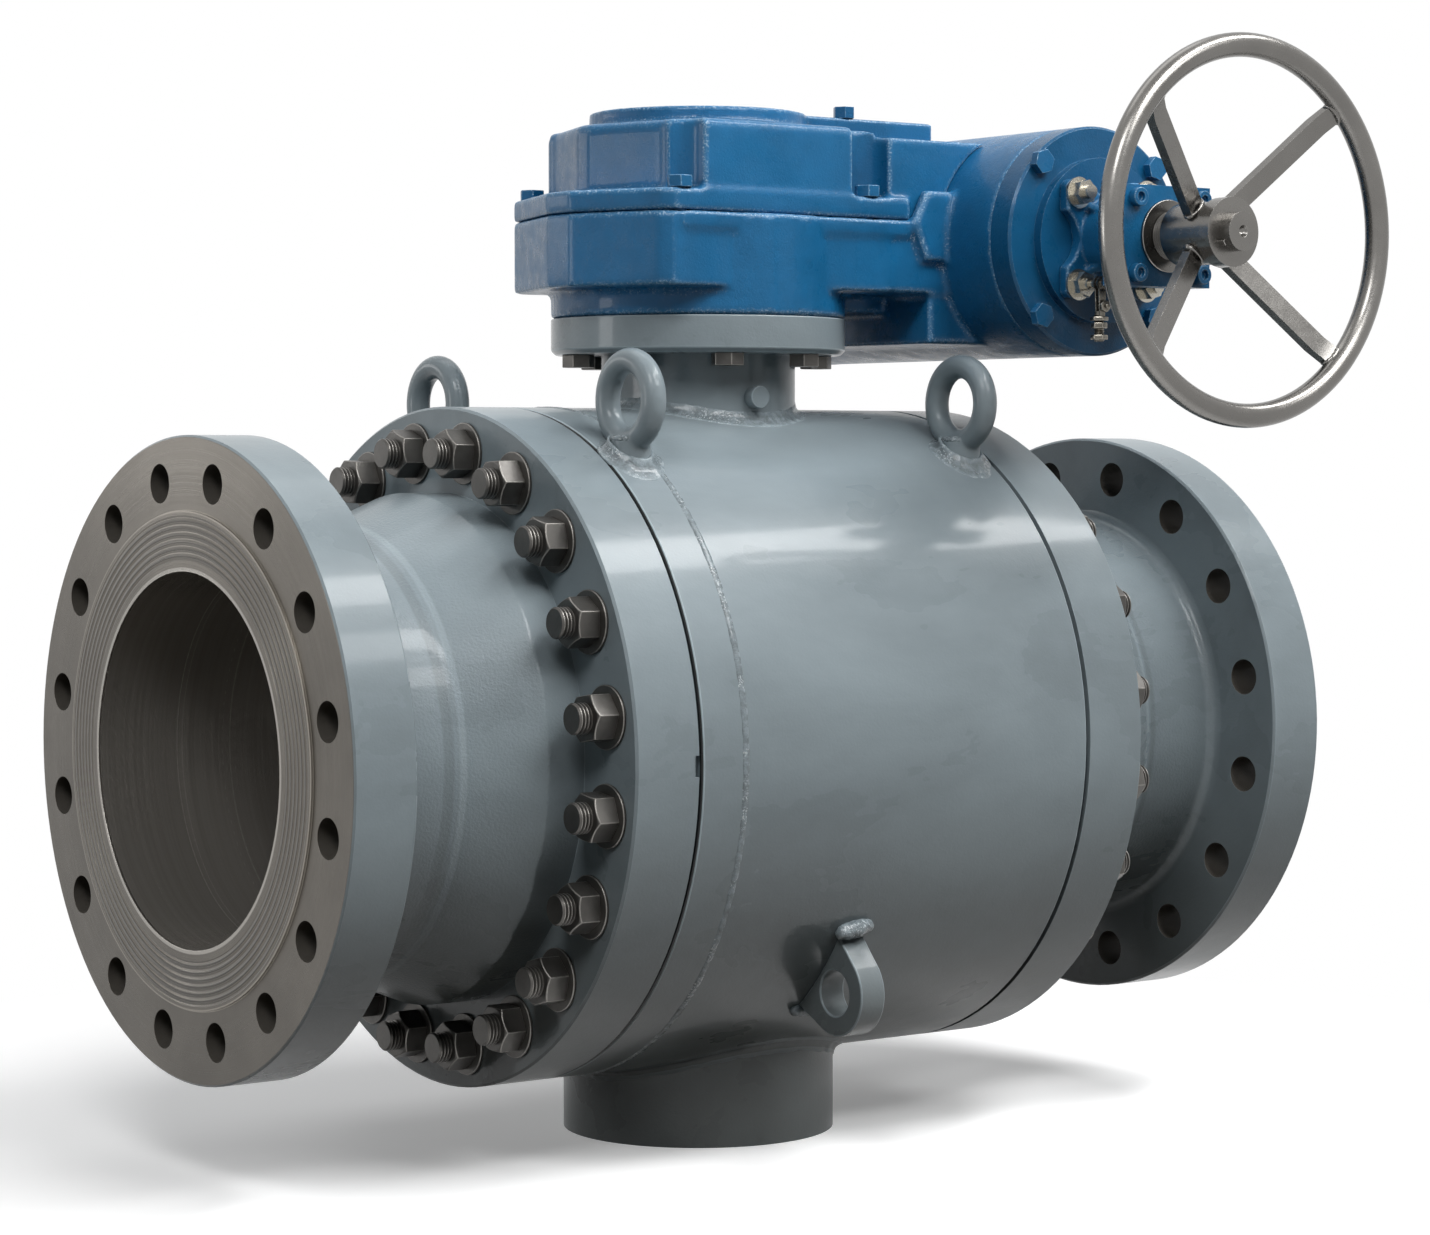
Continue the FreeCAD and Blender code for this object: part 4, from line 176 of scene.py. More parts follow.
class Socket:
    """A shader socket that sums, products and comparisons can be written with."""

    def __init__(self, paint, socket):
        self.paint = paint
        self.socket = socket

    def maths(self, operation, *others, clamp=False):
        return self.paint.node(
            "ShaderNodeMath", {"operation": operation, "use_clamp": clamp}, dict(enumerate((self, *others)))
        )

    def __add__(self, other):
        return self.maths("ADD", other)

    def __radd__(self, other):
        return self.maths("ADD", other)

    def __sub__(self, other):
        return self.maths("SUBTRACT", other)

    def __rsub__(self, other):
        return self.paint.node("ShaderNodeMath", {"operation": "SUBTRACT"}, {0: other, 1: self})

    def __mul__(self, other):
        return self.maths("MULTIPLY", other)

    def __rmul__(self, other):
        return self.maths("MULTIPLY", other)

    def root(self):
        return self.maths("SQRT")

    def size(self):
        return self.maths("ABSOLUTE")

    def sine(self):
        return self.maths("SINE")

    def highest(self, other):
        return self.maths("MAXIMUM", other)

    def above(self, edge, soft):
        """1 where the value is over the edge, 0 where it is under, with a soft step between."""
        return self.paint.node(
            "ShaderNodeMapRange",
            {"interpolation_type": "SMOOTHSTEP"},
            {"Value": self, "From Min": edge - soft, "From Max": edge + soft, "To Min": 0.0, "To Max": 1.0},
        )

    def between(self, low, high, soft):
        """1 between two values, with a soft step at each."""
        return self.above(low, soft) * (1.0 - self.above(high, soft))

    def spread(self, low, high, to_low, to_high):
        """The range from low to high stretched over another one, and held at its ends."""
        return self.paint.node(
            "ShaderNodeMapRange",
            {},
            {"Value": self, "From Min": low, "From Max": high, "To Min": to_low, "To Max": to_high},
        )


class Paint:
    """One material under construction."""

    def __init__(self, name):
        self.material = bpy.data.materials.new(name)
        self.material.use_nodes = True
        self.tree = self.material.node_tree
        self.tree.nodes.clear()
        self.shader = self.tree.nodes.new("ShaderNodeBsdfPrincipled")
        self.end = self.tree.nodes.new("ShaderNodeOutputMaterial")
        self.tree.links.new(self.shader.outputs[0], self.end.inputs["Surface"])
        self.place = self.node("ShaderNodeTexCoord", {}, {}, "Object")

    def node(self, kind, settings, values, output=0):
        """One of a new node's outputs, with the node's settings made before its sockets are fed."""
        made = self.tree.nodes.new(kind)
        for name, setting in settings.items():
            setattr(made, name, setting)
        for name, value in values.items():
            self.feed(made.inputs[name], value)
        return Socket(self, made.outputs[output])

    def feed(self, target, value):
        """Links a socket to an input, or sets the input to a value."""
        if isinstance(value, Socket):
            self.tree.links.new(value.socket, target)
        elif target.type == "RGBA" and len(value) == 3:
            target.default_value = (*value, 1.0)
        else:
            target.default_value = value

    def set(self, **values):
        """Feeds the shader's own inputs, named with underscores."""
        for name, value in values.items():
            self.feed(self.shader.inputs[name.replace("_", " ")], value)

    def axes(self):
        """The place on the object as three numbers."""
        split = self.node("ShaderNodeSeparateXYZ", {}, {0: self.place}, 0)
        node = split.socket.node
        return [Socket(self, node.outputs[k]) for k in range(3)]

    def scaled(self, x, y, z):
        return self.node("ShaderNodeMapping", {}, {"Vector": self.place, "Scale": (x, y, z)})

    def grain(self, scale, detail=3.0, rough=0.55, where=None, distortion=0.0):
        return self.node(
            "ShaderNodeTexNoise",
            {},
            {"Vector": where or self.place, "Scale": scale, "Detail": detail, "Roughness": rough,
             "Distortion": distortion},
        )

    def joined(self, x, y, z):
        return self.node("ShaderNodeCombineXYZ", {}, {0: x, 1: y, 2: z})

    def blend(self, share, first, second):
        """Colour that goes from the first to the second."""
        return self.node(
            "ShaderNodeMix", {"data_type": "RGBA"}, {0: share, 6: first, 7: second}, 2
        )

    def mixed(self, share, first, second):
        """Number that goes from the first to the second."""
        return self.node("ShaderNodeMix", {"data_type": "FLOAT"}, {0: share, 2: first, 3: second}, 0)

    def bump(self, height, distance, strength=1.0, under=None):
        values = {"Height": height, "Distance": distance, "Strength": strength}
        if under is not None:
            values["Normal"] = under
        return self.node("ShaderNodeBump", {}, values)


def shade(colour, factor):
    """A lighter or darker shade of a colour."""
    return tuple(min(1.0, c * factor) for c in colour)


def edge_share(paint):
    """1 on eased edges, 0 on faces and below 0 in hollows, as the mesh tells it."""
    return paint.node("ShaderNodeAttribute", {"attribute_name": "edge"}, {}, "Fac")


def satin_paint(paint, colour, cast=0.0):
    """Sprayed satin paint: cloudy in tone and gloss, orange peel all over and sand grain where it is cast,
    with painted shade towards the bottom and painted highlights on eased edges.
    """
    cloud = paint.grain(4.0, 5.0, 0.62, paint.scaled(0.7, 1.0, 1.0), 0.6)
    drift = paint.grain(11.0, 4.0, 0.6, paint.scaled(0.5, 1.0, 1.0), 0.3)
    tone = (cloud * 0.65 + drift * 0.35).spread(0.36, 0.64, 0.0, 1.0)
    base = paint.blend(tone, shade(colour, 0.80), shade(colour, 1.12))
    # Painted shade: the paint gets darker and warmer towards the bottom, where less light falls.
    low = paint.axes()[2].spread(0.05, 0.33, 0.62, 0.0)
    base = paint.blend(low, base, srgb(74, 72, 65))
    # Painted highlight: eased edges lighter in the paint's own colour.
    wear_and_edge_highlight = edge_share(paint).spread(0.03, 0.2, 0.0, 0.45)
    base = paint.blend(wear_and_edge_highlight, base, shade(colour, 1.6))
    rough = (cloud * 0.4 + drift * 0.6).spread(0.36, 0.64, 0.22, 0.40)
    swell = paint.bump(paint.grain(7.0, 2.0, 0.5, paint.scaled(0.5, 1.0, 1.0)), 0.006, 0.25)
    wave = paint.bump(paint.grain(34.0, 2.0), 0.0010, 0.3, swell)
    peel = paint.grain(430.0, 2.0) * (cast * 1.0 + 0.28)
    return base, rough, paint.bump(peel, 0.0009, 0.5, wave)


def satin_gloss(paint, coat):
    """A thin clear film on the paint, and less shine from the paint below it."""
    paint.set(Coat_Weight=coat)
    paint.shader.inputs["Coat Roughness"].default_value = 0.1
    paint.shader.inputs["Specular IOR Level"].default_value = 0.16


def body_joint(paint, base, colour, x, radius):
    """Painted shade in the gap of the joints between body and closures, between painted highlights on their
    chamfers.
    """
    out = radius.above(0.281, 0.0006)
    away = (x.size() - BODY_HALF_LENGTH).size()
    # Painted highlights on the chamfers beside each joint.
    base = paint.blend(away.between(0.0014, 0.0026, 0.0002) * out * 0.8, base, shade(colour, 1.7))
    # Painted shade: near black in the gap itself.
    return paint.blend((1.0 - away.above(0.0013, 0.0002)) * out, base, shade(colour, 0.04))


def grey_paint():
    """The valve's paint, with painted shade in the joints beside the body and painted highlights on their
    chamfers.
    """
    paint = Paint("valve_paint")
    colour = tuple(bpy.context.scene.valve_paints.valve)
    x, y, z = paint.axes()
    height = z - AXIS.z
    base, rough, normal = satin_paint(paint, colour)
    base = body_joint(paint, base, colour, x, (y * y + height * height).root())
    paint.set(Base_Color=base, Roughness=rough, Normal=normal)
    satin_gloss(paint, 0.2)
    return paint.material


def weld_paint():
    """The valve's paint over weld metal, lumpy, with painted glints and painted highlights on its edges."""
    paint = Paint("weld_paint")
    colour = tuple(bpy.context.scene.valve_paints.valve)
    speck = paint.grain(520.0, 3.0, 0.7)
    lump = paint.grain(150.0, 3.0, 0.6)
    glint_patch = paint.grain(30.0, 3.0, 0.6).above(0.55, 0.06)
    base = paint.blend(lump.spread(0.35, 0.65, 0.0, 1.0), shade(colour, 0.66), shade(colour, 1.0))
    # Painted glints: pale specks in patches over the bead.
    base = paint.blend(speck.above(0.58, 0.05) * glint_patch * 0.8, base, srgb(204, 211, 214))
    # Painted highlight: edges and toes of the weld lighter.
    base = paint.blend(edge_share(paint).spread(0.0, 1.0, 0.0, 0.32), base, shade(colour, 1.8))
    paint.set(
        Base_Color=base,
        Roughness=lump.spread(0.35, 0.65, 0.14, 0.34),
        Normal=paint.bump(speck, 0.0010, 0.6, paint.bump(lump, 0.0022, 0.6)),
    )
    satin_gloss(paint, 0.3)
    return paint.material


def closure_paint():
    """Paint outside, bare machined steel on the end face, the raised face and in the bore, with painted
    highlights and painted shade on the end face, its grooves and the neck's ridge.
    """
    paint = Paint("closure_finish")
    paints = bpy.context.scene.valve_paints
    x, y, z = paint.axes()
    height = z - AXIS.z
    radius = (y * y + height * height).root()
    end = x.size().above(0.5046, 0.0003)
    bore = 1.0 - radius.above(0.1545, 0.0004)
    hole = paint.node("ShaderNodeAttribute", {"attribute_name": "hole"}, {}, "Fac")
    bare = end.highest(bore).highest(hole)
    cast = x.size().between(0.270, 0.446, 0.006) * (1.0 - radius.above(0.232, 0.004))
    base, rough, normal = satin_paint(paint, tuple(paints.valve), cast)
    turned = paint.grain(1.0, 4.0, 0.6, paint.joined(radius * 2200.0, x * 2200.0, 0.0))
    rings = paint.grain(1.0, 3.0, 0.6, paint.joined(radius * 260.0, x * 260.0, 3.0))
    mottled = paint.grain(9.0, 5.0, 0.62)
    steel = tuple(paints.bare_steel)
    face = paint.blend(mottled.spread(0.34, 0.66, 0.0, 1.0), shade(steel, 0.74), shade(steel, 1.0))
    # Painted highlight: the end face lighter towards its top.
    face = paint.blend(height.spread(0.08, 0.26, 0.0, 0.6), face, shade(steel, 1.7))
    raised = end * (1.0 - radius.above(0.2004, 0.0004))
    face = paint.blend(raised * 0.12, face, shade(steel, 1.6))
    groove_pitch = 0.0056
    wave = (radius * (2.0 * math.pi / groove_pitch)).sine()
    ringed = radius.between(0.1605, 0.1965, 0.0004) * end
    # Painted shade in the grooves of the raised face, and painted highlights on their lips.
    painted_groove_shade = wave.above(0.55, 0.25) * ringed
    painted_lip_highlight = wave.between(0.0, 0.5, 0.2) * ringed
    # Painted highlight: bright rings at the raised face's outer edge and at the bore's edge.
    step = radius.between(0.1986, 0.2008, 0.0003).highest(radius.between(0.1515, 0.1530, 0.0003)) * end
    face = paint.blend(painted_groove_shade * 0.62, face, shade(steel, 0.22))
    face = paint.blend((painted_lip_highlight * 0.5).highest(step * 0.8), face, shade(steel, 2.1))
    bored = paint.blend(rings.spread(0.3, 0.7, 0.0, 1.0), shade(paints.bore, 0.9), shade(paints.bore, 1.05))
    metal = paint.blend(hole, paint.blend(bore, face, bored), shade(steel, 0.75))
    metal_rough = (turned * 0.6 + rings * 0.4).spread(0.3, 0.7, 0.22, 0.4) - bore * 0.1
    lathe_marks = paint.bump(turned, 0.0003, 0.6)
    grooved = paint.bump(wave * ringed, 0.0008, 1.0, lathe_marks)
    base = body_joint(paint, base, tuple(paints.valve), x, radius)
    # Painted highlight on the crest of the neck's ridge.
    crest = x.size().between(0.3605, 0.3655, 0.0012) * radius.between(0.184, 0.195, 0.001)
    base = paint.blend(crest * 0.3, base, shade(paints.valve, 1.7))
    # Painted shade at the root beside the ridge.
    root = x.size().between(0.3695, 0.3775, 0.0015) * radius.between(0.176, 0.195, 0.001)
    base = paint.blend(root * 0.35, base, shade(paints.valve, 0.45))
    paint.set(
        Base_Color=paint.blend(bare, base, metal),
        Roughness=paint.mixed(bare, rough, metal_rough),
        Metallic=end.highest(bore * 0.72) * 0.86,
        Normal=paint.node("ShaderNodeMix", {"data_type": "VECTOR"}, {0: bare, 4: normal, 5: grooved}, 1),
    )
    satin_gloss(paint, (1.0 - bare) * 0.2)
    return paint.material


def blue_paint(name, share):
    """Gloss paint over sand-cast iron, with painted shade in its hollows and painted highlights and glints on
    its edges.
    """
    paint = Paint(name)
    # A share below 1 makes a darker copy of the paint, a painted shade.
    colour = shade(bpy.context.scene.valve_paints.operator, share)
    cloud = paint.grain(8.0, 5.0, 0.62)
    speck = paint.grain(520.0, 3.0, 0.65)
    base = paint.blend(cloud.spread(0.34, 0.66, 0.0, 1.0), shade(colour, 0.78), shade(colour, 1.14))
    edge = edge_share(paint)
    # Painted shade: hollows of the casting darker.
    hollow = edge.spread(-0.10, -0.02, 0.45, 0.0)
    base = paint.blend(hollow, base, shade(colour, 0.45))
    # Painted highlight: a lighter blue on eased edges.
    shine = edge.spread(0.035, 0.13, 0.0, 0.55) * speck.spread(0.38, 0.62, 0.25, 1.0)
    base = paint.blend(shine, base, shade(srgb(118, 160, 192), share))
    # Painted glints: pale specks on the edges.
    glint = speck.above(0.59, 0.04) * edge.size().spread(0.035, 0.10, 0.0, 0.42)
    base = paint.blend(glint, base, shade(srgb(196, 214, 228), share))
    sand = paint.bump(speck, 0.0009, 0.4)
    lumps = paint.bump(paint.grain(46.0, 3.0), 0.0014, 0.4, sand)
    rough = paint.grain(70.0, 3.0).spread(0.3, 0.7, 0.22, 0.42)
    paint.set(Base_Color=base, Roughness=rough, Normal=lumps)
    satin_gloss(paint, 0.16)
    return paint.material


def metal_finish(name, colour, metallic, rough_low, rough_high, scale, bump=0.0002, dark=0.72, light=1.1,
                 edge=1.9):
    """Bare or plated metal with blotches, fine scratches and brighter edges."""
    paint = Paint(name)
    blotch = paint.grain(scale, 4.0, 0.6)
    fine = paint.grain(scale * 9, 3.0, 0.6)
    base = paint.blend(blotch.spread(0.3, 0.7, 0.0, 1.0), shade(colour, dark), shade(colour, light))
    wear_and_edge_highlight = edge_share(paint).spread(0.03, 0.3, 0.0, 0.8) * fine.spread(0.3, 0.6, 0.5, 1.0)
    base = paint.blend(wear_and_edge_highlight, base, shade(colour, edge))
    rough = (blotch * 0.4 + fine * 0.6).spread(0.3, 0.7, rough_low, rough_high)
    paint.set(Base_Color=base, Roughness=rough, Metallic=metallic, Normal=paint.bump(fine, bump, 0.4))
    return paint.material


MATERIAL_OF = {}


def finish_for(slot):
    """The Blender material of one of the record's material slots, made once."""
    if slot not in MATERIAL_OF:
        paints = bpy.context.scene.valve_paints
        makers = {
            "grey_paint": grey_paint,
            "closure_paint": closure_paint,
            "weld_paint": weld_paint,
            "blue_paint": lambda: blue_paint("operator_paint", 1.0),
            # Painted shade: the drum's end cover gets a darker copy of the operator paint.
            "end_cover_painted_shade": lambda: blue_paint("end_cover_painted_shade", 0.74),
            "dark_steel": lambda: metal_finish(
                "oiled_steel", tuple(paints.fasteners), 0.7, 0.28, 0.5, 46.0, edge=2.6),
            "zinc": lambda: metal_finish(
                "zinc_plate", tuple(paints.zinc), 0.92, 0.16, 0.3, 30.0, bump=0.00005, dark=0.86),
            "dark_zinc": lambda: metal_finish(
                "dark_zinc", srgb(120, 116, 108), 0.9, 0.2, 0.4, 60.0, dark=0.6),
            "wheel_steel": lambda: metal_finish(
                "wheel_steel", tuple(paints.wheel), 0.95, 0.2, 0.32, 14.0, bump=0.00005, dark=0.86,
                light=1.06, edge=1.5),
            "steel": lambda: metal_finish("machined_steel", srgb(190, 190, 190), 0.95, 0.2, 0.34, 40.0),
            "plated_ball": lambda: metal_finish("ball_plating", srgb(212, 214, 216), 1.0, 0.08, 0.18, 12.0),
            "bronze": lambda: metal_finish("bronze", srgb(186, 148, 92), 0.9, 0.24, 0.4, 40.0),
            "iron": lambda: metal_finish("cast_iron", srgb(96, 96, 98), 0.6, 0.5, 0.7, 120.0, bump=0.0006),
            "graphite": lambda: metal_finish("graphite", srgb(46, 46, 47), 0.1, 0.55, 0.75, 120.0),
            "polymer": lambda: metal_finish("seat_polymer", srgb(226, 220, 204), 0.0, 0.4, 0.5, 60.0),
        }
        MATERIAL_OF[slot] = makers[slot]()
    return MATERIAL_OF[slot]


NODE_SLOT = {entry["node"]: entry["material_slot"] for entry in FRAME["record"]["subparts"]}
BODY_OF = {node: body for body, nodes in FRAME["record"]["behaviour"]["bodies"].items() for node in nodes}


def as_data(mesh, name):
    """Mesh data from a bmesh, which is let go."""
    data = bpy.data.meshes.new(name)
    mesh.to_mesh(data)
    mesh.free()
    return data


def placed(name, data):
    """A new object in the scene."""
    made = bpy.data.objects.new(name, data)
    bpy.context.scene.collection.objects.link(made)
    return made


def coat(piece, finish):
    """Gives a piece one finish in place of what it has."""
    piece.data.materials.clear()
    piece.data.materials.append(finish_for(finish))
    return piece


def piece_from(mesh, name, body, slot, *stands_for, finish=None):
    """An object from a finished bmesh, riding on a body."""
    made = placed(name, as_data(mesh, name))
    coat(made, finish or slot)
    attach(made, body)
    if stands_for:
        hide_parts(*stands_for)
    return made


def copied(node):
    """A CAD node's surface as one joined bmesh."""
    mesh = bmesh.new()
    mesh.from_mesh(FRAME["nodes"][node].data)
    bmesh.ops.remove_doubles(mesh, verts=mesh.verts, dist=1e-6)
    for face in mesh.faces:
        face.smooth = True
    return mesh


def is_sharp(edge, degrees):
    """Do an edge's two faces turn by more than the angle?"""
    return len(edge.link_faces) == 2 and edge.calc_face_angle(0.0) > math.radians(degrees)


def smoothed(mesh, degrees):
    """Smooth faces that meet sharply only where they turn by more than the angle."""
    for face in mesh.faces:
        face.smooth = True
    for edge in mesh.edges:
        edge.smooth = not is_sharp(edge, degrees)


def away_from_axis(place):
    """Distance of a place from the pipe's axis."""
    return math.hypot(place.y, place.z - AXIS.z)


def break_edges(mesh, edges, width, segments, layer):
    """Bevels edges and marks the new faces in a layer."""
    broken = bmesh.ops.bevel(mesh, geom=edges, offset=width, offset_type="OFFSET", affect="EDGES",
                             segments=segments, profile=0.5, material=-1, clamp_overlap=True, loop_slide=True)
    for face in broken["faces"]:
        face[layer] = 1.0


def eased(node, width, segments=2, degrees=32, broad=None, hole=None, refit=None, finish=None):
    """A CAD node with its sharp edges broken, and the breaks marked as edges.

    Edges farther from the pipe's axis than broad get a wider chamfer, hole tells which faces are bolt holes,
    and refit moves the vertices first."""
    mesh = copied(node)
    layer = mesh.faces.layers.float.new("edge")
    bmesh.ops.dissolve_limit(mesh, angle_limit=math.radians(0.6), verts=mesh.verts, edges=mesh.edges)
    if refit:
        refit(mesh)
    sharp = [edge for edge in mesh.edges if is_sharp(edge, degrees)]
    if broad:
        broad_width = 0.0022
        outer = [edge for edge in sharp if all(away_from_axis(vert.co) > broad for vert in edge.verts)]
        rest = [edge for edge in sharp if edge not in outer]
        break_edges(mesh, outer, broad_width, segments, layer)
        sharp = [edge for edge in rest if edge.is_valid]
    break_edges(mesh, sharp, width, segments, layer)
    if hole:
        holes = mesh.faces.layers.float.new("hole")
        for face in mesh.faces:
            face[holes] = float(hole(face))
    smoothed(mesh, 50)
    made = piece_from(mesh, node + "_eased", BODY_OF[node], NODE_SLOT[node], node, finish=finish)
    weighted = made.modifiers.new("Weighted", "WEIGHTED_NORMAL")
    weighted.keep_sharp = True
    return made


def rounded_casting(node, grid, passes):
    """A CAD node remade on an even grid and smoothed, so that corners and roots get cast radii."""
    rough = placed("rough_casting", as_data(copied(node), "rough_casting"))
    remesh = rough.modifiers.new("Grid", "REMESH")
    remesh.mode = "VOXEL"
    remesh.voxel_size = grid
    remesh.use_smooth_shade = True
    smooth = rough.modifiers.new("Smooth", "SMOOTH")
    smooth.iterations = passes
    smooth.factor = 0.5
    graph = bpy.context.evaluated_depsgraph_get()
    cast = bpy.data.meshes.new_from_object(rough.evaluated_get(graph))
    bpy.data.objects.remove(rough)
    made = bmesh.new()
    made.from_mesh(cast)
    for face in made.faces:
        face.smooth = True
    made.normal_update()
    layer = made.verts.layers.float.new("edge")
    for vert in made.verts:
        ring = [edge.other_vert(vert).co for edge in vert.link_edges]
        middle = sum(ring, Vector()) / len(ring)
        vert[layer] = (vert.co - middle).dot(vert.normal) / grid
    return piece_from(made, node + "_cast", BODY_OF[node], NODE_SLOT[node], node)


def spun(mesh, steps):
    """Spins what a bmesh holds once round Z and closes it."""
    bmesh.ops.spin(mesh, geom=mesh.verts[:] + mesh.edges[:], cent=(0, 0, 0), axis=(0, 0, 1), dvec=(0, 0, 0),
                   angle=math.tau, steps=steps, use_merge=True, use_normal_flip=False, use_duplicate=False)
    bmesh.ops.remove_doubles(mesh, verts=mesh.verts, dist=1e-7)
    bmesh.ops.recalc_face_normals(mesh, faces=mesh.faces)
    return mesh


def lathe(profile, steps=48):
    """A turned shape about Z. Each profile point gives its height and its radius."""
    mesh = bmesh.new()
    corners = [mesh.verts.new((radius, 0.0, height)) for height, radius in profile]
    for pair in zip(corners, corners[1:]):
        mesh.edges.new(pair)
    return spun(mesh, steps)


def set_at(mesh, place, along=(0, 0, 1), roll=0.0):
    """Turns a shape's Z to a direction and moves its origin to a place."""
    turn = Vector(along).to_track_quat("Z", "Y").to_matrix().to_4x4()
    matrix = Matrix.Translation(Vector(place)) @ turn @ Matrix.Rotation(roll, 4, "Z")
    bmesh.ops.transform(mesh, matrix=matrix, verts=mesh.verts)
    return mesh


def ring_of(mesh, count, centre, axis, first=0.0):
    """Turns a shape to its first place in a ring and copies it to the others."""
    pattern = mesh.verts[:] + mesh.edges[:] + mesh.faces[:]
    bmesh.ops.rotate(mesh, verts=mesh.verts, cent=centre, matrix=Matrix.Rotation(first, 3, axis))
    for k in range(1, count):
        twin = bmesh.ops.duplicate(mesh, geom=pattern)["geom"]
        corners = [item for item in twin if isinstance(item, bmesh.types.BMVert)]
        turn = Matrix.Rotation(math.tau * k / count, 3, axis)
        bmesh.ops.rotate(mesh, verts=corners, cent=centre, matrix=turn)
    return mesh


def mirrored(mesh, direction):
    """Adds the mirror image across the plane through the origin."""
    twin = bmesh.ops.duplicate(mesh, geom=mesh.verts[:] + mesh.edges[:] + mesh.faces[:])["geom"]
    corners = [item for item in twin if isinstance(item, bmesh.types.BMVert)]
    faces = [item for item in twin if isinstance(item, bmesh.types.BMFace)]
    bmesh.ops.scale(mesh, vec=[-1 if share else 1 for share in direction], verts=corners)
    bmesh.ops.reverse_faces(mesh, faces=faces)
    return mesh


def joined_to(mesh, other):
    """Adds another bmesh and lets it go."""
    data = as_data(other, "joined")
    mesh.from_mesh(data)
    bpy.data.meshes.remove(data)
    return mesh


def bead_ring(radius, across, high, steps, ripples, seed=0.0, lumps=0.55):
    """A rippled weld bead round Z."""
    mesh = bmesh.new()
    section = bmesh.ops.create_circle(mesh, cap_ends=False, segments=10, radius=1.0)["verts"]
    bmesh.ops.rotate(mesh, verts=section, cent=(0, 0, 0), matrix=Matrix.Rotation(math.radians(90), 3, "X"))
    bmesh.ops.scale(mesh, vec=(across / 2, 1.0, high / 2), verts=section)
    bmesh.ops.translate(mesh, vec=(radius, 0, 0), verts=section)
    spun(mesh, steps)
    for vert in mesh.verts:
        angle = math.atan2(vert.co.y, vert.co.x)
        core = Vector((math.cos(angle) * radius, math.sin(angle) * radius, 0.0))
        lump = lumps * noise.noise(core * 70.0 + Vector((seed, 0, 0)))
        swell = 1.0 + 0.08 * math.sin(angle * ripples) + lump
        wander = Vector((0, 0, high * lumps * 0.6 * noise.noise(core * 14.0 + Vector((0, seed, 7)))))
        vert.co = core + (vert.co - core) * swell + wander
    smoothed(mesh, 80)
    return mesh


def onto_body(mesh, side=1):
    """Lifts a shape round a vertical line onto the body's cylinder, over or under the pipe axis."""
    for vert in mesh.verts:
        surface = math.sqrt(max(0.0, BODY_RADIUS ** 2 - vert.co.y ** 2))
        vert.co.z = AXIS.z + side * (surface + vert.co.z)
    if side < 0:
        bmesh.ops.reverse_faces(mesh, faces=mesh.faces)
    return mesh


def hexagon(half_width, height, bevel):
    """A hexagon with a rounded upper rim, standing on Z."""
    mesh = bmesh.new()
    layer = mesh.faces.layers.float.new("edge")
    corner = half_width / math.cos(math.radians(30))
    bmesh.ops.create_cone(mesh, cap_ends=True, segments=6, radius1=corner, radius2=corner, depth=height)
    bmesh.ops.translate(mesh, vec=(0, 0, height / 2), verts=mesh.verts)
    broken = bmesh.ops.bevel(mesh, geom=mesh.edges[:], offset=bevel, offset_type="OFFSET", affect="EDGES",
                             segments=2, profile=0.5, material=-1, clamp_overlap=True)
    for face in broken["faces"]:
        face[layer] = 1.0
    smoothed(mesh, 50)
    return mesh


